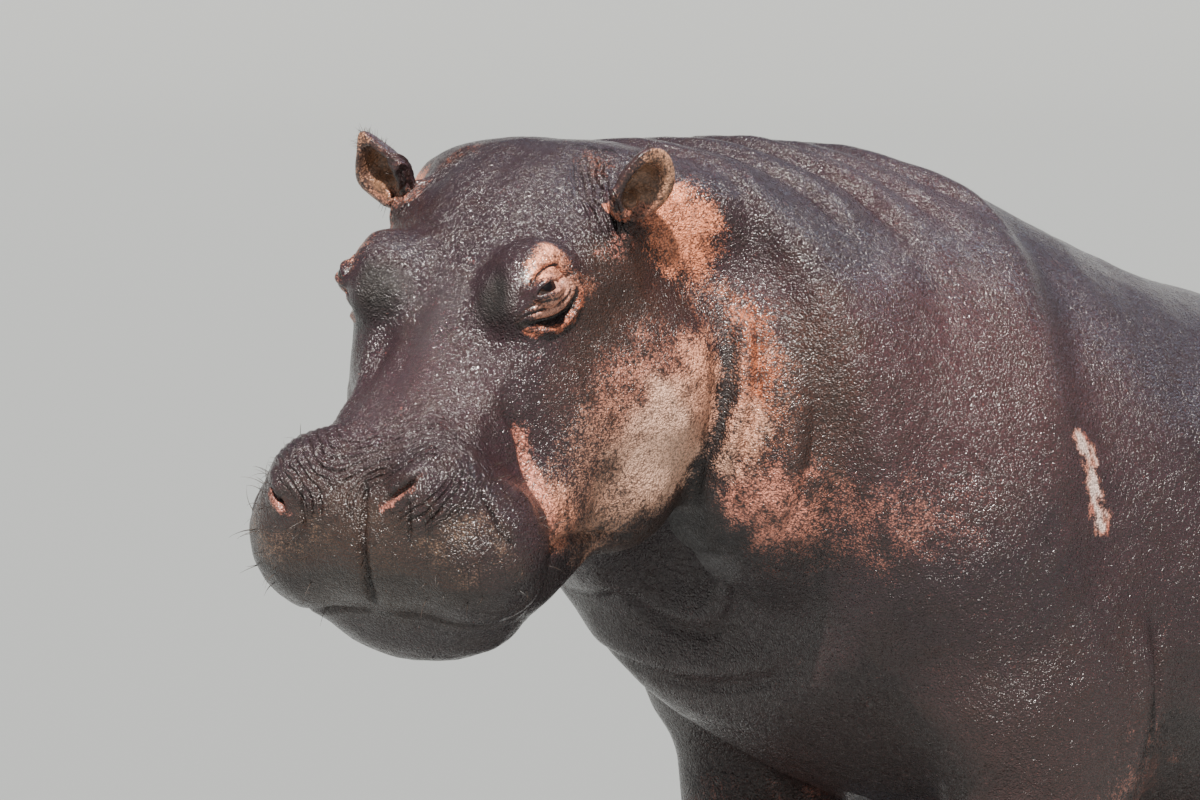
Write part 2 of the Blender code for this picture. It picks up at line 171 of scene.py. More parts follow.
# ---- The skin while it is being shaped ----
class Skin:
    """The skin's object, with its points and normals as arrays."""

    def __init__(self, obj):
        self.obj = obj
        self.read()

    def read(self):
        mesh = self.obj.data
        size = len(mesh.vertices) * 3
        self.points = np.empty(size, np.float32)
        self.normals = np.empty(size, np.float32)
        mesh.vertices.foreach_get("co", self.points)
        mesh.vertices.foreach_get("normal", self.normals)
        self.points = self.points.reshape(-1, 3).astype(float)
        self.normals = self.normals.reshape(-1, 3).astype(float)

    def write(self):
        self.obj.data.vertices.foreach_set("co", self.points.astype(np.float32).ravel())
        self.obj.data.update()
        self.read()

    def on_head(self):
        """Every point by the head's own measures: across, ahead, above."""
        local = (self.points - np.array(HEAD_POINT)) @ np.array(HEAD_TURN)
        return local * (1, -1, 1)

    def map_surface(self):
        """Remembers the present surface, which paths are then laid on."""
        bpy.context.view_layer.update()
        self.tree = BVHTree.FromObject(self.obj, bpy.context.evaluated_depsgraph_get())

    def lay(self, path):
        """Points and normals of a path laid on the surface."""
        found = [self.tree.find_nearest(Vector(p)) for p in path]
        return np.array([f[0] for f in found]), np.array([f[1] for f in found])

    def weighted(self, modifier, weights):
        """Applies a modifier, at full strength where the weights are 1 and not at all at 0."""
        group = self.obj.vertex_groups.new(name="weights")
        tenths = np.round(10 * np.clip(weights, 0, 1)).astype(int)
        for level in range(1, 11):
            group.add(np.flatnonzero(tenths == level).tolist(), level / 10, "REPLACE")
        modifier.vertex_group = group.name
        settle(self.obj)
        self.obj.vertex_groups.clear()
        self.read()

    def soften(self, weights, rounds):
        """Smooths the mesh, most where the weights are 1."""
        smooth = self.obj.modifiers.new("Soften", "SMOOTH")
        smooth.factor = 0.5
        smooth.iterations = rounds
        self.weighted(smooth, weights)

    def refine(self, chosen):
        """Halves the edges of the faces whose corners are all chosen."""
        bm = bmesh.new()
        bm.from_mesh(self.obj.data)
        edges = {
            edge
            for found in bm.faces
            if all(chosen[vert.index] for vert in found.verts)
            for edge in found.edges
        }
        bmesh.ops.subdivide_edges(bm, edges=list(edges), cuts=1, use_grid_fill=True)
        bm.to_mesh(self.obj.data)
        bm.free()
        self.obj.data.update()
        self.read()

    def stroke(self, corners, profile, reach, side, fade):
        """Works a fold or crease along a path of corners, given in world measures.

        profile(offset) is how far the skin is lifted, where offset is the distance to the left of
        the path as seen from outside, or to the right on the mirrored side. The stroke fades over
        that share of its length at each end.
        """
        path, outwards = self.lay(rounded_path(corners))
        low, high = path.min(axis=0) - reach, path.max(axis=0) + reach
        near = np.flatnonzero(np.all((self.points > low) & (self.points < high), axis=1))
        spots = self.points[near]
        best = np.full(len(near), np.inf)
        offset, along, facing = (np.zeros(len(near)) for _ in range(3))
        runs = np.linalg.norm(np.diff(path, axis=0), axis=1)
        starts = np.concatenate([[0], np.cumsum(runs)])
        for i, run in enumerate(runs):
            if run < 1e-6:
                continue
            way = (path[i + 1] - path[i]) / run
            step = np.clip((spots - path[i]) @ way, 0, run)
            gap = spots - (path[i] + step[:, None] * way)
            distance = np.linalg.norm(gap, axis=1)
            closer = distance < best
            up = outwards[i]
            left = np.cross(up, way)
            sign = np.where(gap @ left >= 0, 1.0, -1.0) * side
            best = np.where(closer, distance, best)
            offset = np.where(closer, distance * sign, offset)
            along = np.where(closer, (starts[i] + step) / starts[-1], along)
            facing = np.where(closer, self.normals[near] @ up, facing)
        ends = smoothstep(0, fade, along) * smoothstep(0, fade, 1 - along)
        lift = profile(offset) * ends * smoothstep(-0.1, 0.4, facing) * (best < reach)
        self.points[near] += lift[:, None] * self.normals[near]


def ridge(height, width):
    """How far a rounded ridge lifts the skin, by the distance to its path."""
    return lambda offset: height * np.exp(-((offset / width) ** 2))


def crease(depth, width):
    return ridge(-depth, width)


def fold(height, width, depth):
    """A roll on the left of the path that ends in a sharp crease along it."""
    return lambda offset: (
        height * np.exp(-(((offset - width) / width) ** 2))
        - depth * np.exp(-((offset / (0.4 * width)) ** 2))
    )


# ---- The skin's rough form ----
def make_rough_skin():
    """One closed surface round the flesh, the eyeballs and the nails."""
    whole = bmesh.new()
    for node in [*FLESH, *NAILS, "eye_left", "eye_right"]:
        piece = merged_copy(node)
        piece.normal_update()
        for vert in piece.verts:
            vert.co += vert.normal * PLUMP
        join_meshes(whole, piece)
    made = new_object("hide", whole)
    remesh = made.modifiers.new("Fuse", "REMESH")
    remesh.mode = "VOXEL"
    remesh.voxel_size = VOXEL
    settle(made)
    return Skin(made)


def ear_shape(side):
    """The turn and place of an ear, whose own measures go across, back and up."""
    outwards, back, turned = EAR_LEAN[side]
    root = Matrix.Translation(face(side * EAR_ROOT[0], EAR_ROOT[1], EAR_ROOT[2])) @ HEAD_TURN.to_4x4()
    lean = Matrix.Rotation(radians(side * outwards), 4, "Y") @ Matrix.Rotation(radians(-back), 4, "X")
    spin = Matrix.Rotation(radians(side * turned), 4, "Z")
    return root @ lean @ spin @ Matrix.Translation((0, 0, EAR_HALF.z - 0.015))


def make_ear(side):
    """A cup with a thick rolled rim on a narrow foot, and a fleshy fold across its floor."""
    bm = bmesh.new()
    bmesh.ops.create_uvsphere(bm, u_segments=72, v_segments=56, radius=1.0)
    for vert in bm.verts:
        across, depth, height = vert.co
        out = min(1.0, Vector((across, height)).length)
        spread = 0.76 + 0.26 * float(smoothstep(-1.0, 0.2, height))
        spread *= 1 - (1 - EAR_TIP[side]) * float(smoothstep(0.0, 1.0, height))
        rim = 0.0030 * float(np.exp(-(((out - 0.76) / 0.15) ** 2)))
        inner = float(smoothstep(0.82, 0.22, out))
        ledge = 0.014 * float(np.exp(-(((height + 0.30 - 0.35 * across * side) / 0.20) ** 2)))
        if depth < 0:
            y = 0.008 * depth - rim + (0.024 - ledge) * inner
        else:
            y = depth * EAR_HALF.y + rim * 0.4
        vert.co = Vector((
            across * spread * EAR_HALF.x,
            y - 0.012 * across**2 + 0.006 * height,
            height * EAR_HALF.z,
        ))
    bmesh.ops.transform(bm, matrix=ear_shape(side), verts=bm.verts)
    bmesh.ops.recalc_face_normals(bm, faces=bm.faces)
    return new_object("ear_form", bm)


def join_ears(skin):
    """Grows the ears out of the skin and rounds the join."""
    for side, _ in SIDES:
        ear = make_ear(side)
        join = skin.obj.modifiers.new("Join", "BOOLEAN")
        join.operation = "UNION"
        join.solver = "MANIFOLD"
        join.object = ear
        settle(skin.obj)
        bpy.data.objects.remove(ear)
    skin.read()


def near_face(skin, spots, reach):
    """How near each point is to any of these places of the head, from 1 to 0 at the reach."""
    total = np.zeros(len(skin.points))
    for spot in spots:
        away = np.linalg.norm(skin.points - np.array(face(*spot)), axis=1)
        total = np.maximum(total, 1 - smoothstep(0.7 * reach, reach, away))
    return total


def both(across, ahead, above):
    return [(across, ahead, above), (-across, ahead, above)]


# The eyes, the nostrils, the ears' feet and the snout above the nostrils.
FINE = [
    *both(0.180, -0.012, -0.005),
    *both(0.090, 0.380, -0.100),
    *both(0.165, -0.230, 0.005),
    *both(0.050, 0.330, -0.080),
]
FINE_REACH = 0.080


def head_share(skin):
    """1 on the head, 0 on the body, blended across the back of the jaw."""
    local = skin.on_head()
    return smoothstep(-0.42, -0.30, local[:, 1]) * smoothstep(-0.72, -0.60, local[:, 2])


def foot_share(skin):
    return 1 - smoothstep(0.13, 0.24, skin.points[:, 2])


def make_skin():
    """The flesh fused and softened into one skin, finer on the head, with the ears grown out."""
    skin = make_rough_skin()
    head = head_share(skin)
    body = (1 - head) * (1 - foot_share(skin))
    tail = smoothstep(1.60, 1.63, skin.points[:, 1])
    skin.soften(body * (1 - tail), 190)
    skin.soften(np.clip(head_share(skin) + 0.2, 0, 1) * (1 - foot_share(skin)), 22)
    skin.soften(np.ones(len(skin.points)), 4)
    skin.refine(head_share(skin) > 0.4)
    skin.soften(head_share(skin), 6)
    skin.refine(near_face(skin, FINE, FINE_REACH) > 0.5)
    skin.soften(near_face(skin, FINE, FINE_REACH), 5)
    join_ears(skin)
    skin.soften(near_face(skin, both(0.205, -0.232, 0.0), 0.060), 4)
    return skin


# ---- Eyelids ----
LOOK = Vector((0.737, 0.207, 0.643)).normalized()  # across, ahead, above: where the left eye looks
REAR = Vector((0.34, -0.94, -0.09))  # along the slit, from its front corner to its rear one


def eye_axes(side):
    """The eye's own axes: outwards, towards the rear corner and up."""
    look = HEAD_TURN @ Vector((side * LOOK.x, -LOOK.y, LOOK.z))
    rear = HEAD_TURN @ Vector((side * REAR.x, -REAR.y, REAR.z))
    rear = (rear - look * rear.dot(look)).normalized()
    up = look.cross(rear) * side
    if (HEAD_TURN.inverted() @ up).z < 0:
        up = -up
    return look, rear, up


SLIT_HALF, SLIT_REAR = 1.02, 0.12  # radians round the eyeball
LID_UP, LID_DOWN = 0.21, 0.29
LID = 0.0045  # how thick the lids are
LID_GAP = 0.0008  # between the lids and the eyeball
EYE_REACH = 0.075


def round_eye(skin, side):
    """The points near an eye: which they are, their ways out, and how far outside the slit they lie."""
    look, rear, up = (np.array(v) for v in eye_axes(side))
    gap = skin.points - np.array(EYES[side])
    near = np.flatnonzero(np.linalg.norm(gap, axis=1) < EYE_REACH)
    out = np.linalg.norm(gap[near], axis=1)
    way = gap[near] / out[:, None]
    turn, rise = np.arctan2(way @ rear, way @ look), np.arcsin(np.clip(way @ up, -1, 1))
    along = (turn - SLIT_REAR) / SLIT_HALF
    flat = np.clip(1 - along**2, 0, 1)
    above = rise - LID_UP * flat**0.7 * (1 - 0.25 * turn)
    below = -rise - LID_DOWN * flat**0.8 * (1 + 0.15 * turn)
    beyond = np.maximum(np.abs(along) - 1, 0) * SLIT_HALF
    level = np.maximum(above, below)
    edge = EYE_RADIUS * np.where(beyond > 0, np.hypot(beyond, np.maximum(level, 0)), level)
    return near, way, out, edge


def open_lids(skin):
    """Draws the skin tight over the eyeballs and opens an almond slit in it."""
    for side, _ in SIDES:
        near, way, out, edge = round_eye(skin, side)
        margin = np.sqrt(np.clip(1 - (1 - np.clip(edge / LID, 0, 1)) ** 2, 0, 1))
        lid = EYE_RADIUS + LID_GAP + LID * margin
        away = smoothstep(0.004, 0.022, edge)
        shaped = np.where(edge < 0, EYE_RADIUS - 0.004, lid * (1 - away) + out * away)
        skin.points[near] = np.array(EYES[side]) + way * shaped[:, None]
    skin.write()


def cover_eyeballs(skin):
    """Keeps the folded lids in front of the eyeballs."""
    for side, _ in SIDES:
        near, way, out, edge = round_eye(skin, side)
        least = EYE_RADIUS + 0.0010 + 0.0012 * smoothstep(0.0, 0.003, edge)
        kept = np.where(edge < 0, out, np.maximum(out, least))
        skin.points[near] = np.array(EYES[side]) + way * kept[:, None]
    skin.write()


def side_path(side, places):
    """The world places of a path on one side of the head, given for the left one."""
    return [tuple(face(side * across, ahead, above)) for across, ahead, above in places]


def stroke_head(skin, side, rows):
    """Works strokes on one side of the head; a row is a path, its profile, its reach and its fade."""
    for places, profile, reach, fade in rows:
        skin.stroke(side_path(side, places), profile, reach, -side, fade)


# Paths round the left eye: across, ahead and above.
ABOVE_EYE = [
    (0.062, -0.080, 0.027), (0.094, -0.109, 0.027), (0.130, -0.122, 0.017), (0.170, -0.118, -0.006),
    (0.196, -0.106, -0.034),
]
BROW = [(0.140, 0.005, 0.045), (0.143, -0.035, 0.048), (0.155, -0.070, 0.035), (0.172, -0.085, 0.012)]
LID_CREASE = [
    (0.164, 0.016, 0.019), (0.166, 0.005, 0.024), (0.166, -0.012, 0.027), (0.168, -0.030, 0.025),
    (0.172, -0.046, 0.019), (0.179, -0.053, 0.011), (0.186, -0.055, 0.002), (0.191, -0.060, -0.008),
    (0.196, -0.072, -0.020),
]
REAR_CORNER = [
    (0.184, -0.026, 0.004), (0.185, -0.036, 0.001), (0.187, -0.046, -0.001), (0.191, -0.058, -0.006),
]
WEDGE = [(0.186, -0.026, -0.002), (0.188, -0.036, -0.004), (0.190, -0.046, -0.005)]
BAGS = [
    [
        (0.148, 0.050, -0.009), (0.165, 0.033, -0.002), (0.188, 0.020, 0.001),
        (0.199, 0.002, -0.006), (0.196, -0.030, -0.016), (0.194, -0.049, -0.010),
    ],
    [
        (0.146, 0.053, -0.017), (0.163, 0.038, -0.012), (0.180, 0.020, -0.014),
        (0.188, -0.002, -0.023), (0.194, -0.028, -0.026), (0.196, -0.050, -0.018),
    ],
]
GROOVE = [
    (0.150, 0.052, -0.024), (0.164, 0.030, -0.031), (0.175, 0.007, -0.043), (0.185, -0.017, -0.049),
    (0.194, -0.038, -0.044), (0.197, -0.055, -0.031),
]
EYE_RING = [
    (0.160, 0.046, -0.040), (0.174, 0.028, -0.052), (0.187, 0.010, -0.060), (0.195, -0.015, -0.062),
    (0.201, -0.038, -0.056), (0.203, -0.062, -0.040),
]
LID_STROKES = [
    (ABOVE_EYE, crease(0.006, 0.016), 0.05, 0.3),
    (BROW, ridge(0.006, 0.026), 0.06, 0.3),
    (GROOVE, crease(0.0090, 0.0065), 0.03, 0.3),
    (EYE_RING, ridge(0.0060, 0.0080), 0.03, 0.25),
    (LID_CREASE, crease(0.0065, 0.0032), 0.02, 0.10),
    (REAR_CORNER, crease(0.0040, 0.0028), 0.012, 0.15),
    *((bag, crease(0.0034, 0.0030), 0.015, 0.3) for bag in BAGS),
]


def fold_lids(skin):
    """The lid's crease, the bags below the eye with their groove, and the ring round them."""
    for side, _ in SIDES:
        stroke_head(skin, side, LID_STROKES)
    skin.write()


# ---- Muzzle, mouth and ears ----
NOSTRILS = {
    1: [(0.042, 0.388, -0.120), (0.068, 0.382, -0.104), (0.096, 0.371, -0.089), (0.113, 0.358, -0.079)],
    -1: [
        (-0.125, 0.402, -0.137), (-0.144, 0.392, -0.124), (-0.160, 0.378, -0.115),
        (-0.171, 0.360, -0.110),
    ],
}
MOUTH = [
    (0.000, 0.425, -0.318), (0.080, 0.420, -0.322), (0.150, 0.385, -0.330), (0.205, 0.310, -0.335),
    (0.205, 0.220, -0.335), (0.198, 0.150, -0.365), (0.205, 0.085, -0.420), (0.215, 0.030, -0.455),
]
PAD_REAR = [
    (0.140, 0.150, -0.100), (0.150, 0.150, -0.160), (0.158, 0.165, -0.195), (0.175, 0.190, -0.230),
    (0.205, 0.225, -0.265), (0.225, 0.250, -0.300),
]
PAD_STRIP = [
    (0.151, 0.140, -0.165), (0.155, 0.155, -0.199), (0.171, 0.176, -0.231), (0.191, 0.192, -0.266),
    (0.199, 0.194, -0.310),
]
PAD_LINE = [
    (0.190, 0.332, -0.120), (0.204, 0.345, -0.150), (0.222, 0.360, -0.178), (0.235, 0.355, -0.215),
]
MEDIAN = [
    (0.004, 0.355, -0.104), (0.010, 0.388, -0.128), (0.012, 0.415, -0.160), (0.009, 0.430, -0.230),
    (0.0, 0.43, -0.29),
]
FRONT_CREASE = [(0.096, 0.385, -0.104), (0.097, 0.404, -0.134), (0.094, 0.418, -0.165)]
JOWL = [
    (0.262, -0.310, -0.150), (0.288, -0.276, -0.218), (0.312, -0.225, -0.275), (0.314, -0.172, -0.338),
    (0.288, -0.132, -0.408), (0.240, -0.107, -0.480),
]
SNOUT_STROKES = [
    ([(0.004, -0.060, 0.02), (0.010, 0.050, -0.02), (0.016, 0.150, -0.05), (0.018, 0.270, -0.08)],
     ridge(0.007, 0.028), 0.09, 0.3),
    ([(0.0, -0.34, 0.03), (-0.01, -0.25, 0.045), (-0.01, -0.15, 0.04), (0.0, -0.09, 0.03)],
     crease(0.006, 0.030), 0.10, 0.3),
]
FACE_STROKES = [
    ([(0.080, -0.030, 0.030), (0.098, 0.010, 0.024), (0.106, 0.036, 0.010), (0.102, 0.062, -0.020)],
     crease(0.011, 0.020), 0.06, 0.4),
    ([(0.098, 0.030, 0.015), (0.094, 0.070, -0.030), (0.092, 0.120, -0.062), (0.098, 0.190, -0.088)],
     crease(0.009, 0.024), 0.08, 0.35),
    ([(0.140, 0.075, -0.040), (0.128, 0.130, -0.075), (0.128, 0.200, -0.100), (0.130, 0.260, -0.100)],
     ridge(0.006, 0.022), 0.07, 0.35),
    ([(0.210, -0.060, -0.075), (0.226, -0.110, -0.100), (0.240, -0.170, -0.120)],
     crease(0.008, 0.030), 0.09, 0.4),
]
MUZZLE_STROKES = [
    (PAD_REAR, fold(0.008, 0.018, 0.009), 0.06, 0.2),
    (PAD_LINE, crease(0.0045, 0.0045), 0.02, 0.25),
    (MOUTH, crease(0.011, 0.0075), 0.03, 0.08),
    (FRONT_CREASE, crease(0.0040, 0.0035), 0.015, 0.25),
    (JOWL, fold(0.015, 0.050, 0.014), 0.15, 0.45),
]
LOBE_STROKES = [
    ([(0.212, -0.205, -0.014), (0.222, -0.220, -0.004), (0.234, -0.238, 0.002)],
     ridge(0.012, 0.014), 0.04, 0.3),
]


def shifted(places, across, ahead, above):
    """A path moved by so much each way."""
    return [(x + across, y + ahead, z + above) for x, y, z in places]


def work_head(skin):
    """The ridge along the snout, the valleys beside it and the dip between the brows."""
    stroke_head(skin, 1, SNOUT_STROKES)
    for side, _ in SIDES:
        stroke_head(skin, side, FACE_STROKES)
    skin.write()


def work_muzzle(skin):
    """The nostrils with their rims, the pads, the mouth line and the jowls."""
    for side, _ in SIDES:
        slit = NOSTRILS[side]
        stroke_head(skin, 1, [
            (shifted(slit, 0.004 * side, -0.014, 0.014), ridge(0.0055, 0.012), 0.04, 0.25),
            (shifted(slit, 0.004 * side, 0.008, -0.013), ridge(0.0035, 0.009), 0.03, 0.25),
            (slit, crease(0.010, 0.0042), 0.02, 0.35),
        ])
        stroke_head(skin, side, MUZZLE_STROKES)
    stroke_head(skin, 1, [(MEDIAN, crease(0.010, 0.0065), 0.03, 0.15)])
    skin.write()


def path_distance(points, corners):
    """Each point's distance to a path."""
    path = rounded_path(corners, 4)
    best = np.full(len(points), np.inf)
    for start, end in zip(path, path[1:]):
        way = end - start
        step = np.clip((points - start) @ way / max(way @ way, 1e-12), 0, 1)
        best = np.minimum(best, np.linalg.norm(points - start - step[:, None] * way, axis=1))
    return best


SNOUT_RING, EAR_RING, EAR_WEB = 0.0026, 0.0044, 0.008  # heights of the small folds and the ear's web


def crests(swing):
    """Rounded crests from 0 to 1, with a sharp valley wherever swing is a whole number."""
    return np.abs(np.sin(pi * swing))


def snout_rings(points, local):
    """Distance to the nostrils, how much the hide there is ringed, and its count of rings."""
    near, far = (path_distance(points, side_path(1, NOSTRILS[side])) for side in (1, -1))
    merged = -0.02 * np.log(np.exp(-near / 0.02) + np.exp(-far / 0.02))
    _, ahead, above = local.T
    share = smoothstep(0.018, 0.035, merged) * (1 - smoothstep(0.10, 0.20, merged))
    share *= 1 - smoothstep(0.395, 0.43, ahead + 0.25 * (above + 0.1))
    share *= smoothstep(-0.16, -0.12, above)
    return merged, share, merged / 0.0125 + 0.4 * waves(points, 0.05, 41)


def ear_rings(points, local):
    """How far ahead of its ear each point lies, how folded the hide is, and its count of folds."""
    across, ahead, above = np.abs(local[:, 0]), local[:, 1], local[:, 2]
    along = 0.62 * across + 0.79 * ahead + 0.08
    far = 0.62 * ahead - 0.79 * across + 0.300 + 1.2 * along**2
    share = smoothstep(0.0, 0.010, far) * (1 - smoothstep(0.045, 0.100, far))
    share *= smoothstep(-0.120, -0.070, along) * (1 - smoothstep(0.060, 0.100, along))
    share *= smoothstep(-0.080, -0.040, above)
    return far, share, far / 0.0115 + 0.35 * waves(points, 0.04, 42)


def work_rings(skin):
    """Rings of small folds above the nostrils and in front of the ears."""
    points, local = skin.points, skin.on_head()
    far, share, swing = snout_rings(points, local)
    lift = SNOUT_RING * share * (crests(swing) - 0.6)
    far, share, swing = ear_rings(points, local)
    lift += EAR_RING * share * (1 - smoothstep(0.03, 0.07, far)) * (crests(swing) - 0.6)
    across, ahead, _ = local.T
    root = np.hypot(np.abs(across) - EAR_ROOT[0], ahead - EAR_ROOT[1])
    beside = np.exp(-(((far - 0.006) / 0.016) ** 2)) * (1 - smoothstep(0.025, 0.055, root))
    lift += EAR_WEB * share * beside
    skin.points += lift[:, None] * skin.normals
    skin.write()


def work_ears(skin):
    """The lobe at the foot of each ear."""
    for side, _ in SIDES:
        stroke_head(skin, side, LOBE_STROKES)
    skin.write()


# ---- Neck, trunk and legs ----
SCAR = [
    (0.53, -0.420, 1.040), (0.53, -0.400, 1.010), (0.535, -0.398, 0.970), (0.53, -0.385, 0.930),
    (0.54, -0.380, 0.900),
]
NECK_FOLD = [
    (0.30, -0.96, 1.32), (0.35, -0.93, 1.24), (0.37, -0.94, 1.15), (0.36, -0.97, 1.03),
    (0.30, -1.0, 0.90),
]
NECK_REAR = [(0.38, -0.86, 1.20), (0.42, -0.86, 1.08), (0.42, -0.88, 0.94), (0.36, -0.92, 0.80)]
SHOULDER = [
    (0.10, -0.46, 1.43), (0.32, -0.47, 1.33), (0.47, -0.47, 1.21), (0.55, -0.46, 1.06),
    (0.58, -0.43, 0.90),
]
ELBOW = [(0.44, -0.30, 0.44), (0.50, -0.27, 0.54), (0.55, -0.26, 0.66), (0.58, -0.28, 0.78)]
FLANK = [(0.47, 0.66, 0.42), (0.54, 0.70, 0.54), (0.57, 0.76, 0.68), (0.55, 0.84, 0.82)]


def body_strokes():
    """The left side's strokes: each a path, its profile, reach and fade, and the way its roll lies."""
    for y, height in ((-1.02, 0.008), (-0.89, 0.012), (-0.78, 0.015), (-0.69, 0.011), (-0.59, 0.009)):
        corners = ((-0.06, -0.02, 1.53), (0.12, 0.02, 1.50), (0.26, 0.10, 1.42), (0.38, 0.16, 1.30))
        ripple = [(x, y + ahead, z) for x, ahead, z in corners]
        yield ripple, fold(height, 0.035, 0.9 * height), 0.12, 0.3, 1
    yield NECK_FOLD, fold(0.006, 0.022, 0.011), 0.09, 0.35, -1
    yield NECK_REAR, fold(0.004, 0.03, 0.006), 0.09, 0.4, -1
    yield SHOULDER, ridge(0.014, 0.055), 0.15, 0.25, 1
    yield shifted(SHOULDER, 0, 0.11, 0), crease(0.010, 0.05), 0.14, 0.3, 1
    yield ELBOW, fold(0.010, 0.03, 0.014), 0.1, 0.3, 1
    yield FLANK, fold(0.011, 0.035, 0.014), 0.11, 0.3, -1
    for z, depth in ((0.20, 0.004), (0.235, 0.005), (0.275, 0.004), (0.33, 0.003)):
        for x, y, push in ((0.345, -0.44, 0.13), (0.325, 1.09, 0.12)):
            ring = [
                (x + push * cos(a), y + push * sin(a), z + 0.012 * sin(2 * a + z * 40))
                for a in (radians(d) for d in range(-100, 261, 40))
            ]
            yield ring, crease(depth, 0.008), 0.03, 0.1, 1
    for x in (0.09, 0.17):
        cheek = [(x, 1.58, 1.0), (x + 0.02, 1.64, 0.88), (x + 0.01, 1.62, 0.76), (x, 1.55, 0.64)]
        yield cheek, crease(0.006, 0.018), 0.06, 0.3, 1


def work_body(skin):
    """The neck's ripples, the shoulders, the folds at the legs and the chest's folds."""
    for side, _ in SIDES:
        for places, profile, reach, fade, roll in body_strokes():
            path = [(side * x, y, z) for x, y, z in places]
            skin.stroke(path, profile, reach, side * roll, fade)
    for z, y in ((0.60, -0.86), (0.70, -0.92), (0.80, -0.97)):
        chest = [(-0.30, y + 0.10, z + 0.10), (-0.12, y, z), (0.10, y, z), (0.30, y + 0.10, z + 0.10)]
        skin.stroke(chest, fold(0.008, 0.03, 0.009), 0.09, 1, 0.3)
    skin.write()


def add_unevenness(skin):
    """Low lumps all over, but for the eyes and the feet."""
    points = skin.points
    head = head_share(skin)
    lumps = 0.0026 * (1 - 0.6 * head) * waves(points, 0.17, 1)
    lumps += 0.0012 * (1 - 0.5 * head) * waves(points, 0.07, 2)
    lumps += 0.0005 * head * waves(points, 0.028, 3)
    calm = 1 - near_face(skin, both(0.180, -0.012, -0.005), 0.08)
    skin.points += (lumps * calm * (1 - foot_share(skin)))[:, None] * skin.normals
    skin.points[:, 2] = np.maximum(skin.points[:, 2], 0.0)
    skin.write()


def count_triangles(mesh, chosen=None):
    """How many triangles a mesh has, or how many of them have all their corners among the chosen."""
    mesh.calc_loop_triangles()
    corners = np.empty(len(mesh.loop_triangles) * 3, np.int32)
    mesh.loop_triangles.foreach_get("vertices", corners)
    if chosen is None:
        return len(corners) // 3
    return int(np.all(chosen[corners.reshape(-1, 3)], axis=1).sum())


def thin_part(skin, weights, target):
    """Thins the mesh where the weights are high, down to a count of triangles in all."""
    thin = skin.obj.modifiers.new("Thin", "DECIMATE")
    thin.ratio = min(1.0, target / count_triangles(skin.obj.data))
    skin.weighted(thin, weights)


def thin_out(skin):
    """Keeps the skin within its count of triangles, finest on the face and beside the scar."""
    on_head = head_share(skin) > 0.5
    scar = 1 - smoothstep(0.07, 0.12, path_distance(skin.points, SCAR))
    target = count_triangles(skin.obj.data, on_head) + BODY_TRIANGLES
    thin_part(skin, np.where(on_head, 0.0, 1 - 0.8 * scar), target)
    on_head = head_share(skin) > 0.5
    fine = near_face(skin, FINE, FINE_REACH)
    thin_part(skin, np.where(on_head, 1 - 0.7 * fine, 0.0), SKIN_TRIANGLES)
    close_slivers(skin)
    skin.obj.data.shade_smooth()


def close_slivers(skin):
    """Takes out the crowded slivers left where the ears join, and closes the skin again."""
    bm = bmesh.new()
    bm.from_mesh(skin.obj.data)
    for _ in range(8):
        torn = [edge for edge in bm.edges if not edge.is_manifold]
        if not torn:
            break
        around = {near for edge in torn for vert in edge.verts for near in vert.link_faces}
        bmesh.ops.delete(bm, geom=list(around), context="FACES")
        gaps = [edge for edge in bm.edges if edge.is_boundary]
        bmesh.ops.holes_fill(bm, edges=gaps, sides=0)
        bmesh.ops.triangulate(bm, faces=[found for found in bm.faces if len(found.verts) > 3])
    bm.to_mesh(skin.obj.data)
    bm.free()
    skin.read()


# ---- Marks, and painted shade, on the skin's points ----
# Colours are linear: red, green, blue.
DARK = (0.023, 0.0125, 0.0165)
BLACK = (0.008, 0.005, 0.005)
MAUVE = (0.047, 0.022, 0.026)
BROWN = (0.085, 0.036, 0.024)
UMBER = (0.034, 0.017, 0.012)
RUST = (0.26, 0.095, 0.055)
PINK = (0.66, 0.24, 0.175)
BEIGE = (0.98, 0.58, 0.41)
PEACH = (0.95, 0.31, 0.155)
ORANGE = (0.44, 0.115, 0.042)


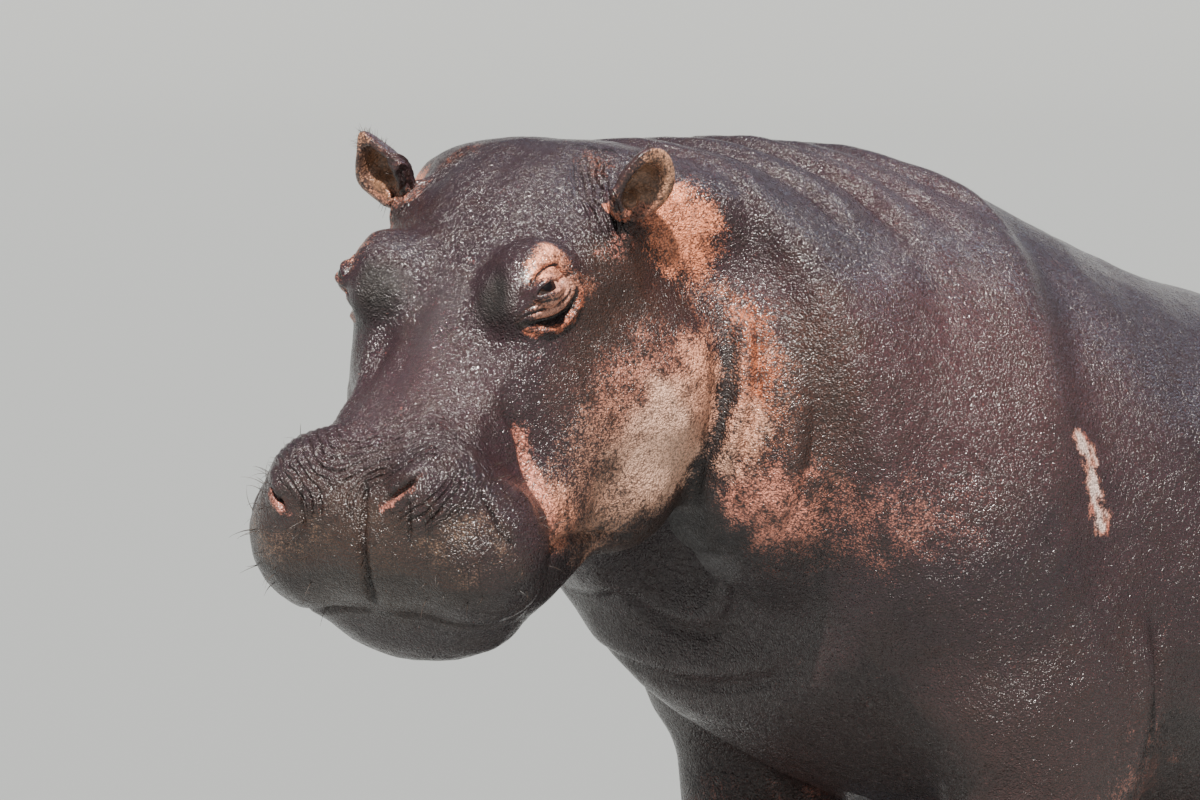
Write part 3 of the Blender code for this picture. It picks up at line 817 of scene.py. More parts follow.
class Paint:
    """The hide's colour, its finish and its fine wrinkles, at each point of the skin."""

    def __init__(self, skin):
        self.skin = skin
        self.points = skin.points
        self.local = skin.on_head()
        self.warp = np.stack([waves(skin.points, 0.06, 20 + i) for i in range(3)], axis=1)
        self.fine = np.stack([waves(skin.points, 0.022, 30 + i) for i in range(3)], axis=1)
        count = len(skin.points)
        self.colour = np.tile(np.array(DARK), (count, 1))
        self.pale = np.tile(np.array(PINK), (count, 1))
        self.share = np.zeros(count)
        self.fleck = np.full(count, 0.35)
        self.wet = 0.70 + 0.24 * waves(skin.points, 0.14, 43)
        self.grain = np.ones(count)
        self.lines = np.zeros(count)
        self.lined = np.zeros(count)

    def blob(self, centre, reach, on_head, ragged):
        """A soft-edged patch, 1 in its middle; reach holds its half sizes."""
        places = self.local if on_head else self.points
        reach = np.array(reach, float)
        shaken = places + (self.warp * 0.7 + self.fine * 0.3) * ragged * reach
        away = np.linalg.norm((shaken - np.array(centre)) / reach, axis=1)
        return 1 - smoothstep(0.45, 1.30, away)

    def lay(self, share, colour, fleck=None, wet=None):
        """Lays a dark colour; it hides what pale patches it covers."""
        share = np.clip(share, 0, 1)
        self.colour += share[:, None] * (np.array(colour) - self.colour)
        self.share *= 1 - share
        self.finish(share, fleck, wet)

    def lay_pale(self, share, colour, fleck=None, wet=None):
        """Lays a pale patch, whose edge the material breaks up into freckles."""
        share = np.clip(share, 0, 1)
        total = share + self.share * (1 - share)
        change = share / np.maximum(total, 1e-6)
        self.pale += change[:, None] * (np.array(colour) - self.pale)
        self.share = total
        self.finish(share, fleck, wet)

    def finish(self, share, fleck, wet):
        if fleck is not None:
            self.fleck += share * (fleck - self.fleck)
        if wet is not None:
            self.wet += share * (wet - self.wet)

    def marks(self, side, on_head, rows):
        """Lays patches on one side. A row is the way to lay it, its centre, half sizes and
        raggedness, how strong it is, its colour, its flecks and its wetness."""
        for way, centre, reach, ragged, strength, colour, fleck, wet in rows:
            share = self.blob((side * centre[0], *centre[1:]), reach, on_head, ragged)
            way(self, share * strength, colour, fleck, wet)

    def wrinkle(self, lines, depth):
        """Fine wrinkles wherever lines is a whole number, in place of shallower ones."""
        self.lines = np.where(depth > self.lined, lines, self.lines)
        self.lined = np.maximum(np.abs(depth - self.lined) - 0.2 * smoothstep(0, 0.2, depth), 0)

    def store(self, mesh):
        for name in ("colour", "pale"):
            rgb = getattr(self, name)
            full = np.concatenate([rgb, np.ones((len(rgb), 1))], axis=1).astype(np.float32)
            mesh.attributes.new(name, "FLOAT_COLOR", "POINT").data.foreach_set("color", full.ravel())
        for name in ("share", "fleck", "wet", "grain", "lines", "lined"):
            store_values(mesh, name, getattr(self, name))


def store_values(mesh, name, values):
    mesh.attributes.new(name, "FLOAT", "POINT").data.foreach_set("value", np.array(values, np.float32))


OVER, PALER = Paint.lay, Paint.lay_pale
# Marks of the left side, which are mirrored; places on the body are in world measures.
SHOULDER_MARKS = [
    (OVER, (0.48, -0.62, 1.12), (0.20, 0.32, 0.24), 0.3, 0.8, (0.060, 0.026, 0.028), 0.45, None),
    (OVER, (0.34, -0.93, 1.30), (0.10, 0.07, 0.14), 0.3, 0.7, MAUVE, 0.5, 0.6),
    (OVER, (0.33, -0.84, 1.38), (0.13, 0.12, 0.08), 0.3, 0.7, (0.022, 0.012, 0.015), 0.4, 0.6),
]
BODY_MARKS = [
    (OVER, (0.42, -0.86, 1.10), (0.09, 0.08, 0.22), 0.5, 0.9, (0.050, 0.022, 0.016), 0.8, 0.4),
    (PALER, (0.36, -0.93, 1.14), (0.10, 0.060, 0.18), 0.5, 0.40, (0.36, 0.12, 0.06), 1.0, 0.4),
    (PALER, (0.355, -0.945, 1.17), (0.07, 0.035, 0.14), 0.5, 0.60, ORANGE, 0.9, 0.45),
    (PALER, (0.40, -0.84, 0.915), (0.22, 0.20, 0.10), 0.6, 0.36, (0.42, 0.15, 0.10), 1.0, 0.5),
    (PALER, (0.35, -0.92, 0.940), (0.11, 0.10, 0.07), 0.6, 0.66, (0.74, 0.27, 0.18), 0.9, 0.5),
    (PALER, (0.50, -0.67, 0.94), (0.10, 0.15, 0.07), 0.6, 0.22, (0.50, 0.20, 0.15), 0.9, 0.5),
    (PALER, (0.40, -0.27, 0.48), (0.22, 0.12, 0.14), 0.5, 0.42, (0.46, 0.18, 0.13), 0.9, 0.4),
    (PALER, (0.45, 0.72, 0.50), (0.22, 0.14, 0.16), 0.5, 0.42, (0.46, 0.18, 0.13), 0.9, 0.4),
    (PALER, (0.12, 1.58, 0.72), (0.15, 0.12, 0.16), 0.6, 0.35, (0.46, 0.18, 0.13), 0.9, 0.4),
]


def paint_body(paint):
    """The trunk's mauve bloom, its browner foot as painted shade, the pink of the belly and chest, and
    the feet.
    """
    x, y, z = paint.points.T
    paint.lay(smoothstep(0.2, -0.6, waves(paint.points, 0.5, 11)) * 0.5, MAUVE)
    # Painted shade: the lower trunk is laid browner, under the body where the floor lights it.
    low = 1 - smoothstep(0.45, 0.95, z + 0.08 * paint.warp[:, 0])
    paint.lay(low * 0.65, (0.046, 0.023, 0.020), 0.5, 0.5)
    belly = 1 - smoothstep(0.28, 0.48, z + 0.05 * paint.warp[:, 1])
    inner = belly * (1 - smoothstep(0.30, 0.50, np.abs(x))) * smoothstep(0.2, 0.3, z)
    paint.lay_pale(inner * 0.6, (0.42, 0.17, 0.13), 0.8, 0.4)
    for side, _ in SIDES:
        paint.marks(side, False, SHOULDER_MARKS)
        streaks = np.sin((y + 0.22 * z) * 80 + 1.5 * paint.warp[:, 0]) + 0.5 * paint.fine[:, 1]
        shoulder = paint.blob((side * 0.42, -0.63, 1.26), (0.12, 0.17, 0.14), False, 0.3)
        paint.wet += 0.55 * shoulder * smoothstep(0.1, 0.9, streaks)
        paint.marks(side, False, BODY_MARKS)
    for foot in FEET:
        away = np.linalg.norm((paint.points - np.array(middle(foot))) / (0.22, 0.22, 0.07), axis=1)
        paint.lay((1 - smoothstep(0.7, 1.1, away)) * 0.6, BROWN, 0.5, 0.4)


def paint_scar(paint):
    """A raw, healing scar behind the left shoulder."""
    laid, _ = paint.skin.lay(rounded_path(SCAR, 3))
    away = path_distance(paint.points, laid)
    raw = 1 - smoothstep(0.012, 0.028, away + 0.012 * paint.fine[:, 0])
    ragged = np.clip(0.80 + 0.9 * paint.fine[:, 2], 0, 1)
    paint.lay_pale(raw * ragged * 0.9, (0.62, 0.25, 0.17), 0.6, 0.4)
    core = 1 - smoothstep(0.003, 0.014, away + 0.016 * paint.fine[:, 1])
    paint.lay_pale(core * 0.95, (0.88, 0.66, 0.58), 0.2, 0.6)
    beside = smoothstep(0.010, 0.014, away) * raw * smoothstep(0.1, 0.5, paint.warp[:, 2])
    paint.lay_pale(beside, (0.45, 0.11, 0.07), 0.5, 0.6)


# Places on the head are by its own measures: across, ahead and above.
HEAD_MARKS = [
    (OVER, (0.215, -0.04, -0.17), (0.10, 0.15, 0.09), 0.3, 0.8, (0.070, 0.031, 0.024), 0.9, 0.4),
    (PALER, (0.262, -0.060, -0.225), (0.09, 0.14, 0.10), 0.4, 0.60, (0.42, 0.16, 0.105), 1.0, 0.35),
    (PALER, (0.230, 0.060, -0.300), (0.12, 0.13, 0.13), 0.4, 0.50, (0.46, 0.22, 0.145), 1.0, 0.35),
    (PALER, (0.275, -0.070, -0.350), (0.13, 0.13, 0.115), 0.4, 1.0, BEIGE, 0.18, 0.35),
    (PALER, (0.215, 0.065, -0.400), (0.10, 0.10, 0.08), 0.4, 0.60, (0.50, 0.27, 0.18), 0.9, 0.35),
    (PALER, (0.305, -0.165, -0.320), (0.05, 0.080, 0.13), 0.3, 0.75, (0.78, 0.33, 0.20), 0.9, 0.35),
    # Painted shadow under the jaw: a near-black, dry patch on the throat.
    (OVER, (0.200, -0.150, -0.560), (0.14, 0.13, 0.09), 0.3, 0.95, (0.008, 0.004, 0.004), 0.3, -0.6),
    # Painted shade on the underside of the lower jaw, where it curves under.
    (OVER, (0.200, 0.010, -0.490), (0.12, 0.15, 0.060), 0.3, 0.85, (0.050, 0.026, 0.018), 0.8, 0.3),
    (PALER, (0.19, 0.180, -0.300), (0.05, 0.045, 0.075), 0.4, 0.75, (0.74, 0.30, 0.18), 0.9, 0.35),
    (OVER, (0.20, -0.125, -0.085), (0.09, 0.15, 0.085), 0.3, 0.9, UMBER, 0.7, 0.45),
    (OVER, (0.245, -0.205, -0.175), (0.05, 0.08, 0.06), 0.3, 0.5, UMBER, 0.7, 0.45),
    (PALER, (0.262, -0.290, -0.080), (0.07, 0.075, 0.105), 0.3, 0.95, PEACH, 0.6, 0.35),
    (PALER, (0.280, -0.262, -0.225), (0.05, 0.05, 0.08), 0.5, 0.35, (0.42, 0.16, 0.09), 0.9, 0.4),
    (PALER, (0.130, -0.300, 0.026), (0.050, 0.038, 0.03), 0.5, 0.40, RUST, 0.9, 0.5),
    (PALER, (0.212, -0.175, -0.040), (0.035, 0.045, 0.03), 0.5, 0.45, PINK, 0.9, 0.5),
    # Painted shade of the brow: the near-black, dry hollow in front of the eye.
    (OVER, (0.103, 0.034, 0.012), (0.042, 0.056, 0.050), 0.3, 1.0, (0.005, 0.003, 0.003), 0.1, -0.8),
]
EYE_MARKS = [
    (PALER, (0.187, -0.005, -0.018), (0.032, 0.058, 0.034), 0.15, 0.95, (0.66, 0.29, 0.195), 0.5, 0.4),
    (PALER, (0.205, -0.068, -0.030), (0.03, 0.03, 0.05), 0.3, 0.5, RUST, 0.9, 0.35),
    (PALER, (0.15, 0.375, -0.20), (0.10, 0.08, 0.07), 0.6, 0.35, (0.20, 0.120, 0.075), 0.9, 0.6),
]
SNOUT_SHINE = [((0.025, 0.12, -0.04), (0.05, 0.18, 0.06)), ((0.185, 0.325, -0.13), (0.07, 0.08, 0.08))]


def paint_head(paint):
    """The dark crown, the pale cheeks and the warm hide round eyes and ears, with painted shade in
    the hollow before each eye, on the throat and under the lower jaw.
    """
    muzzle = paint.blob((0, 0.38, -0.22), (0.24, 0.12, 0.13), True, 0.25)
    paint.lay(muzzle * 0.6, (0.062, 0.038, 0.022), 0.8, 0.7)
    for side, _ in SIDES:
        paint.marks(side, True, HEAD_MARKS)
        lid = paint.blob((side * 0.166, -0.040, 0.024), (0.034, 0.056, 0.040), True, 0.2)
        paint.lay_pale(lid * (0.80 if side == 1 else 0.35), (0.98, 0.37, 0.21), 0.6, 0.45)
        paint.marks(side, True, EYE_MARKS)
        shine = sum(paint.blob((side * x, y, z), reach, True, 0.3) for (x, y, z), reach in SNOUT_SHINE)
        paint.wet += 0.4 * np.clip(shine, 0, 1)
        paint.grain *= 1 - 0.65 * near_eye(paint, side)


def near_eye(paint, side):
    """1 at an eyeball and 0 beyond its lids."""
    away = np.linalg.norm(paint.points - np.array(EYES[side]), axis=1)
    return 1 - smoothstep(0.035, 0.060, away)


def paint_lines_and_shade(paint):
    """Painted shade in the creases of the lids, nostrils, pads, mouth and muzzle and behind the jowls,
    with the ring below each eye and the nostrils' pink.
    """
    lay, lay_pale = paint.lay, paint.lay_pale
    for side in (1, -1):
        def near(places, inner, outer, shake=0.0, side=side):
            away = path_distance(paint.points, side_path(side, places))
            return 1 - smoothstep(inner, outer, away + shake * paint.fine[:, 2])

        strip = near(PAD_STRIP, 0.002, 0.020, 0.010)
        lay_pale(strip * 0.80, (0.80, 0.28, 0.19), 0.8, 0.7)
        broken = np.clip(0.72 + 0.5 * paint.fine[:, 1], 0, 0.9)
        lay_pale(near(EYE_RING, 0.003, 0.013, 0.006) * broken, (0.56, 0.155, 0.075), 1.0, 0.4)
        # Painted shade in the creases: the groove below the eye, the lid's crease and the rear corner.
        lay(near(GROOVE, 0.0022, 0.0065, 0.002) * 0.95, (0.014, 0.007, 0.005), 0.1, 0.4)
        lay(near(LID_CREASE, 0.0014, 0.0042), (0.020, 0.008, 0.006), 0.1, 0.4)
        lay(near(REAR_CORNER, 0.0012, 0.0032), (0.022, 0.008, 0.006), 0.1, 0.4)
        lay_pale(near(WEDGE, 0.0015, 0.0035), (0.80, 0.47, 0.37), 0.1, 0.9)
        # Painted shade in the creases of the bags below the eye.
        for bag in BAGS:
            lay(near(bag, 0.0012, 0.0034) * 0.9, (0.040, 0.014, 0.010), 0.1, 0.4)
        slit = NOSTRILS[side]
        lip = path_distance(paint.points, side_path(1, shifted(slit[:-1], 0.003 * side, 0.004, -0.005)))
        lay_pale(
            (1 - smoothstep(0.002, 0.014, lip + 0.006 * paint.fine[:, 0])) * 0.7,
            (0.46, 0.165, 0.12), 0.9, 0.5,
        )
        # Painted shade inside each nostril's slit and in the creases of the pad, the muzzle's front and
        # the mouth.
        inside = path_distance(paint.points, side_path(1, slit))
        lay((1 - smoothstep(0.0012, 0.0038, inside)) * 0.9, (0.05, 0.014, 0.010), 0.1, 0.6)
        lay(near(PAD_LINE, 0.002, 0.006) * 0.8, BLACK)
        lay(near(FRONT_CREASE, 0.0015, 0.005) * 0.8, BLACK)
        lay(near(MOUTH, 0.003, 0.009) * 0.85, BLACK)
        # Painted shadow of the jowl on the neck behind it: near black and dry.
        behind = near(shifted(JOWL[2:], 0.000, -0.026, -0.010), 0.012, 0.055, 0.01)
        lay(behind * 0.95, (0.008, 0.004, 0.003), 0.3, -0.3)
    # Painted shade in the crease down the middle of the muzzle.
    median = path_distance(paint.points, side_path(1, MEDIAN))
    lay((1 - smoothstep(0.002, 0.008, median)) * 0.9, BLACK)


def paint_ears(paint):
    """The ears' mauve backs, pale rims, brown floors and pink feet."""
    for side in (1, -1):
        own = np.array(ear_shape(side).inverted())
        places = paint.points @ own[:3, :3].T + own[:3, 3]
        across, back, up = places.T
        here = (np.abs(across) < 0.062) & (np.abs(back) < 0.045) & (up > -0.055) & (up < 0.085)
        out = np.hypot(across / EAR_HALF.x, up / EAR_HALF.z)
        on_ear = here * smoothstep(-0.052, -0.038, up)
        paint.lay(on_ear, MAUVE, 0.7, 0.45)
        front = on_ear * (1 - smoothstep(0.002, 0.010, back + 0.012 * (across / EAR_HALF.x) ** 2))
        turned_out = smoothstep(-0.5, 0.3, side * across / EAR_HALF.x + 0.4 * up / EAR_HALF.z)
        rim = front * smoothstep(0.40, 0.72, out) * (0.3 + 0.7 * turned_out)
        paint.lay_pale(rim * (0.85 if side == 1 else 0.5), (0.66, 0.33, 0.19), 0.6, 0.3)
        paint.grain *= 1 - 0.5 * on_ear
        floor = here * (back > -0.02) * (back < 0.020) * (1 - smoothstep(0.45, 0.80, out))
        paint.lay(floor, (0.26, 0.125, 0.065), 0.35, 0.2)
        foot = here * (back < 0.020) * (1 - smoothstep(-0.040, -0.014, up - 0.3 * side * across))
        paint.lay_pale(foot * (0.8 if side == 1 else 0.4), (0.50, 0.17, 0.10), 0.8, 0.4)


def paint_wrinkles(paint):
    """Fine wrinkles: round the nostrils and ears, away from the eyes and down the sides, with painted
    shade in the valleys of the rings.
    """
    points, local = paint.points, paint.local
    _, y, z = points.T
    upright = (y + 0.12 * z + 0.030 * paint.warp[:, 0]) / 0.013
    sides = smoothstep(0.50, 0.62, z) * (1 - 0.55 * smoothstep(-0.35, 0.1, y))
    paint.wrinkle(upright, 0.55 * sides * (1 - smoothstep(-0.36, -0.26, local[:, 1])) + 1e-3)
    level = (z + 0.02 * paint.warp[:, 1]) / 0.013
    paint.wrinkle(level, 0.55 * (1 - smoothstep(0.46, 0.56, z)) * smoothstep(0.05, 0.12, z))
    across, ahead, _ = local.T
    crown = smoothstep(-0.36, -0.26, ahead) * (1 - smoothstep(0.20, 0.30, ahead))
    bent = (0.8 * np.abs(across) - 0.6 * ahead + 0.02 * paint.warp[:, 2]) / 0.011
    paint.wrinkle(bent, 0.35 * crown)
    for side in (1, -1):
        _, rear, up = (np.array(v) for v in eye_axes(side))
        gap = points - np.array(EYES[side])
        away = np.linalg.norm(gap, axis=1)
        angle = np.arctan2(gap @ up, gap @ rear)
        behind = smoothstep(0.045, 0.055, away) * (1 - smoothstep(0.09, 0.15, away))
        fan = behind * (1 - smoothstep(1.6, 2.4, np.abs(angle)))
        paint.wrinkle(angle * 6.5, 0.9 * fan)
    for rings, depth in ((snout_rings, 1.2), (ear_rings, 1.5)):
        _, share, swing = rings(points, local)
        paint.wrinkle(2 * swing, depth * share)
        # Painted shade in the valleys between the rings' folds.
        paint.lay(0.75 * share * smoothstep(0.45, 0.05, crests(swing)), BLACK)


def paint_skin(skin):
    paint = Paint(skin)
    paint_body(paint)
    paint_scar(paint)
    paint_head(paint)
    paint_ears(paint)
    paint_lines_and_shade(paint)
    paint_wrinkles(paint)
    paint.lined *= 1 - 0.65 * np.maximum(near_eye(paint, 1), near_eye(paint, -1))
    paint.fleck = np.clip(paint.fleck, 0, 1)
    paint.store(skin.obj.data)


# ---- Materials ----
class Nodes:
    """Short hands for making and joining a material's nodes."""

    def __init__(self, name):
        self.material = bpy.data.materials.new(name)
        self.material.use_nodes = True
        self.tree = self.material.node_tree
        self.shader = self.tree.nodes["Principled BSDF"]

    def plug(self, value, socket):
        """Joins a socket to a node's output, or sets it to a number or a colour."""
        if isinstance(value, bpy.types.NodeSocket):
            self.tree.links.new(value, socket)
        else:
            socket.default_value = (*value, 1.0) if isinstance(value, tuple) else value

    def put(self, **values):
        """Fills the shader's sockets, named with _ for each space."""
        for name, value in values.items():
            self.plug(value, self.shader.inputs[name.replace("_", " ")])

    def new(self, kind):
        return self.tree.nodes.new("ShaderNode" + kind)

    def object_place(self):
        return self.new("TexCoord").outputs["Object"]

    def maths(self, operation, first, second=0.0, clamp=False):
        node = self.new("Math")
        node.operation = operation
        node.use_clamp = clamp
        self.plug(first, node.inputs[0])
        self.plug(second, node.inputs[1])
        return node.outputs[0]

    def times(self, first, second, clamp=False):
        return self.maths("MULTIPLY", first, second, clamp)

    def plus(self, first, second):
        return self.maths("ADD", first, second)

    def minus(self, first, second):
        return self.maths("SUBTRACT", first, second)

    def between(self, value, low, high, to_low=0.0, to_high=1.0):
        node = self.new("MapRange")
        node.interpolation_type = "SMOOTHSTEP"
        for socket, given in zip(node.inputs, (value, low, high, to_low, to_high)):
            self.plug(given, socket)
        return node.outputs[0]

    def mix(self, share, first, second):
        node = self.new("Mix")
        node.data_type = "RGBA"
        self.plug(share, node.inputs[0])
        self.plug(first, node.inputs[6])
        self.plug(second, node.inputs[7])
        return node.outputs[2]

    def noise(self, where, scale, detail, roughness=0.55):
        node = self.new("TexNoise")
        self.plug(where, node.inputs["Vector"])
        node.inputs["Scale"].default_value = scale
        node.inputs["Detail"].default_value = detail
        node.inputs["Roughness"].default_value = roughness
        return node

    def cells(self, where, scale):
        node = self.new("TexVoronoi")
        self.plug(where, node.inputs["Vector"])
        node.inputs["Scale"].default_value = scale
        return node.outputs["Distance"]

    def attribute(self, name, output="Fac"):
        node = self.new("Attribute")
        node.attribute_name = name
        return node.outputs[output]

    def bump(self, height, distance):
        node = self.new("Bump")
        node.inputs["Strength"].default_value = 1.0
        node.inputs["Distance"].default_value = distance
        self.plug(height, node.inputs["Height"])
        return node.outputs["Normal"]


def hide_material():
    """Wet, flecked hide: pebbled grain that glints, dark flecks and fine wrinkles, with painted shade
    in the grain's gaps and the wrinkles' valleys.
    """
    n = Nodes("hide")
    where = n.object_place()
    shaken = n.noise(where, 60.0, 2.0)
    warped = n.new("VectorMath")
    warped.operation = "MULTIPLY_ADD"
    n.plug(shaken.outputs["Color"], warped.inputs[0])
    warped.inputs[1].default_value = (0.012, 0.012, 0.012)
    n.plug(where, warped.inputs[2])
    place = warped.outputs[0]
    pebble = n.cells(place, 290.0)
    patches = n.noise(where, 25.0, 4.0, 0.66).outputs[0]
    pores = n.noise(place, 150.0, 3.0, 0.7).outputs[0]
    fleck = n.attribute("fleck")
    wet = n.attribute("wet")
    lined = n.attribute("lined")
    shift = n.times(n.minus(shaken.outputs[0], 0.5), 1.6)
    swing = n.times(n.plus(n.attribute("lines"), shift), pi)
    roll = n.maths("ABSOLUTE", n.maths("SINE", swing))
    kept = n.times(lined, n.between(patches, 0.38, 0.56, 1.0, 0.35))
    broken = n.plus(patches, n.times(pores, 0.9))
    broken = n.plus(broken, n.times(pebble, 0.7))
    share = n.plus(n.times(n.attribute("share"), 1.25), 1.10)
    covered = n.minus(share, broken)
    tint = n.mix(
        n.between(covered, 0.05, 0.95), n.attribute("colour", "Color"),
        n.attribute("pale", "Color"),
    )
    paler = n.mix(n.between(patches, 0.30, 0.48, 0.25, 0.0), tint, (0.80, 0.44, 0.31))
    soft = n.mix(n.times(fleck, n.attribute("share")), tint, paler)
    blotch = n.times(n.between(patches, 0.50, 0.62), n.times(fleck, 0.80), True)
    blotched = n.mix(blotch, soft, (0.034, 0.016, 0.012))
    spots = n.times(n.between(pores, 0.50, 0.62), fleck, True)
    spotted = n.mix(spots, blotched, (0.018, 0.009, 0.007))
    # The hide's dark net, which is also painted shade in the sunken gaps of the grain, and painted
    # shade in the fine wrinkles' valleys.
    net = n.plus(n.times(n.attribute("share"), 0.08), 0.45)
    gaps = n.times(n.between(pebble, 0.34, 0.74), net)
    valleys = n.times(n.between(roll, 0.45, 0.0), n.times(kept, 0.6), True)
    dark = n.maths("MAXIMUM", gaps, valleys)
    colour = n.mix(dark, spotted, (0.012, 0.007, 0.006))
    rough = n.minus(n.between(pores, 0.35, 0.70, 0.37, 0.62), n.times(wet, 0.34))
    n.put(Base_Color=colour, Roughness=rough, Specular_IOR_Level=0.42)
    # Heights in metres.
    grains = n.times(pebble, -0.0019)
    lumps = n.times(pores, 0.0026)
    swell = n.times(patches, 0.0050)
    rough_part = n.plus(n.plus(grains, lumps), swell)
    rolls = n.times(n.times(roll, kept), 0.0025)
    height = n.plus(n.times(rough_part, n.attribute("grain")), rolls)
    n.put(Normal=n.bump(height, 1.0))
    # A film of water, smoother than the hide below it.
    n.put(Coat_Weight=0.28, Coat_Roughness=0.09, Coat_Normal=n.bump(height, 0.75))
    return n.material


def eye_material():
    """A dark brown eye whose pale pink third lid fills its lower rear corner."""
    n = Nodes("eye")
    toward_rear = n.attribute("rearward")
    outward = n.attribute("outward")
    where = n.object_place()
    veins = n.noise(where, 420.0, 4.0).outputs[0]
    iris = n.mix(n.between(veins, 0.35, 0.7), (0.010, 0.004, 0.003), (0.024, 0.010, 0.006))
    pupil = n.mix(n.between(outward, 0.945, 0.965), iris, (0.003, 0.002, 0.002))
    white = n.mix(n.between(veins, 0.4, 0.7), (0.10, 0.046, 0.032), (0.065, 0.026, 0.018))
    ball = n.mix(n.between(outward, 0.80, 0.85), white, pupil)
    lid = n.mix(n.between(veins, 0.4, 0.65), (0.56, 0.30, 0.22), (0.36, 0.15, 0.10))
    colour = n.mix(n.between(toward_rear, 0.40, 0.46), ball, lid)
    n.put(Base_Color=colour, Roughness=0.16, Coat_Weight=0.25, Coat_Roughness=0.04)
    return n.material


def nail_material():
    """Dark horn with streaks down it, worn paler in places."""
    n = Nodes("toenail")
    where = n.object_place()
    stretched = n.new("Mapping")
    n.plug(where, stretched.inputs["Vector"])
    stretched.inputs["Scale"].default_value = (1.0, 1.0, 0.25)
    streaks = n.noise(stretched.outputs[0], 180.0, 4.0).outputs[0]
    worn = n.noise(where, 40.0, 4.0).outputs[0]
    horn = n.mix(n.between(streaks, 0.35, 0.65), (0.034, 0.025, 0.020), (0.105, 0.075, 0.056))
    colour = n.mix(n.between(worn, 0.52, 0.68), horn, (0.135, 0.103, 0.078))
    rough = n.between(worn, 0.3, 0.7, 0.38, 0.62)
    n.put(Base_Color=colour, Roughness=rough, Normal=n.bump(streaks, 0.0008))
    return n.material


def bristle_material():
    n = Nodes("bristle")
    where = n.object_place()
    shade = n.noise(where, 90.0, 2.0).outputs[0]
    colour = n.mix(n.between(shade, 0.35, 0.65), (0.012, 0.009, 0.008), (0.045, 0.030, 0.022))
    n.put(Base_Color=colour, Roughness=0.4)
    return n.material


# ---- Eyeballs, toenails and bristles ----
def make_eyeballs():
    """Eyeballs that bulge at the iris, with the shares of white, iris and third lid on them."""
    material = eye_material()
    for side, hand in SIDES:
        look, rear, up = eye_axes(side)
        bm = bmesh.new()
        bmesh.ops.create_uvsphere(bm, u_segments=48, v_segments=32, radius=EYE_RADIUS)
        turn = look.to_track_quat("Z", "Y").to_matrix().to_4x4()
        bmesh.ops.transform(bm, matrix=turn, verts=bm.verts)
        iris = (look * 0.97 - rear * 0.16 + up * 0.10).normalized()
        ways = [vert.co.normalized() for vert in bm.verts]
        bulge = [1 + 0.045 * float(smoothstep(0.80, 0.95, way.dot(iris))) for way in ways]
        for vert, grow in zip(bm.verts, bulge):
            vert.co = EYES[side] + vert.co * grow
        ball = new_object("eyeball_" + hand, bm)
        ball.data.materials.append(material)
        ball.data.shade_smooth()
        store_values(ball.data, "outward", [way.dot(iris) for way in ways])
        store_values(ball.data, "rearward", [way.dot(rear) - 0.35 * way.dot(up) for way in ways])
        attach(ball, "root")
        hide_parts("eye_" + hand)


def make_nails():
    """Rounded hoof-like toenails over the solid ones."""
    whole = bmesh.new()
    for name in NAILS:
        piece = merged_copy(name)
        centre = middle(name)
        for vert in piece.verts:
            vert.co = centre + (vert.co - centre) * NAIL_GROWTH
            vert.co.z = max(vert.co.z, NAIL_LIFT)
        join_meshes(whole, piece)
    nails = new_object("toenails", whole)
    rounding = nails.modifiers.new("Round", "SUBSURF")
    rounding.levels = 3
    rounding.render_levels = 3
    settle(nails)
    nails.data.materials.append(nail_material())
    nails.data.shade_smooth()
    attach(nails, "root")
    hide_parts(*NAILS)


class Bristles:
    """Thin tapered hairs joined in one mesh, each with a small patch of the map."""

    def __init__(self, skin, seed):
        self.skin = skin
        self.random = np.random.default_rng(seed)
        self.bm = bmesh.new()
        self.map = self.bm.loops.layers.uv.new("OFBake")

    def grow(self, root, way, length, thick, droop, curl=0.0):
        """One hair of five lengths, from the root along way."""
        spot = skin_spot(root)
        way = way.normalized()
        across = way.orthogonal().normalized()
        turn = Matrix.Rotation(self.random.uniform(0, 2 * pi), 3, way)
        across = turn @ across
        rows = []
        place, heading = root - way * 0.002, way.copy()
        for step in range(HAIR_STEPS + 1):
            share = step / HAIR_STEPS
            radius = thick * (1 - 0.85 * share)
            sideways = heading.cross(across).normalized()
            rows.append([
                self.bm.verts.new(place + radius * (across * cos(a) + sideways * sin(a)))
                for a in (0, 2 * pi / 3, 4 * pi / 3)
            ])
            heading = (heading + Vector((0, 0, -droop)) + across * curl).normalized()
            place = place + heading * length / HAIR_STEPS
        for row, (low, high) in enumerate(zip(rows, rows[1:])):
            for k in range(3):
                after = (k + 1) % 3
                made = self.bm.faces.new((low[k], low[after], high[after], high[k]))
                self.patch(made, spot, k / 3, row / HAIR_STEPS)
        self.patch(self.bm.faces.new(rows[0][::-1]), spot, 0, 0)
        self.patch(self.bm.faces.new(rows[-1]), spot, 0, 0.9)

    def patch(self, made, spot, u, v):
        """Gives a face its own corner of the hair's patch of the map."""
        corners = ((0, 0), (0.3, 0), (0.3, 0.19), (0, 0.19))
        for loop, (du, dv) in zip(made.loops, corners):
            loop[self.map].uv = (spot[0] + (u + du) * HAIR_PATCH, spot[1] + (v + dv) * HAIR_PATCH)

    def on_skin(self, near, spread):
        """A place on the skin close to a point, and the skin's normal there."""
        shaken = Vector(near) + Vector(self.random.normal(size=3)) * spread
        place, normal, _, _ = self.skin.tree.find_nearest(shaken)
        return place, normal

    def finish(self, name):
        bmesh.ops.recalc_face_normals(self.bm, faces=self.bm.faces)
        made = new_object(name, self.bm)
        made.data.materials.append(bristle_material())
        made.data.shade_smooth()
        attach(made, "root")


def skin_spot(place):
    """A place on the unwrapped skin: round the body, and along it."""
    across, up = place.x, place.z - 0.8
    return 0.5 + np.arctan2(across, up) / (2 * pi) * 0.98, 0.02 + (place.y + 1.75) / 3.5 * 0.96


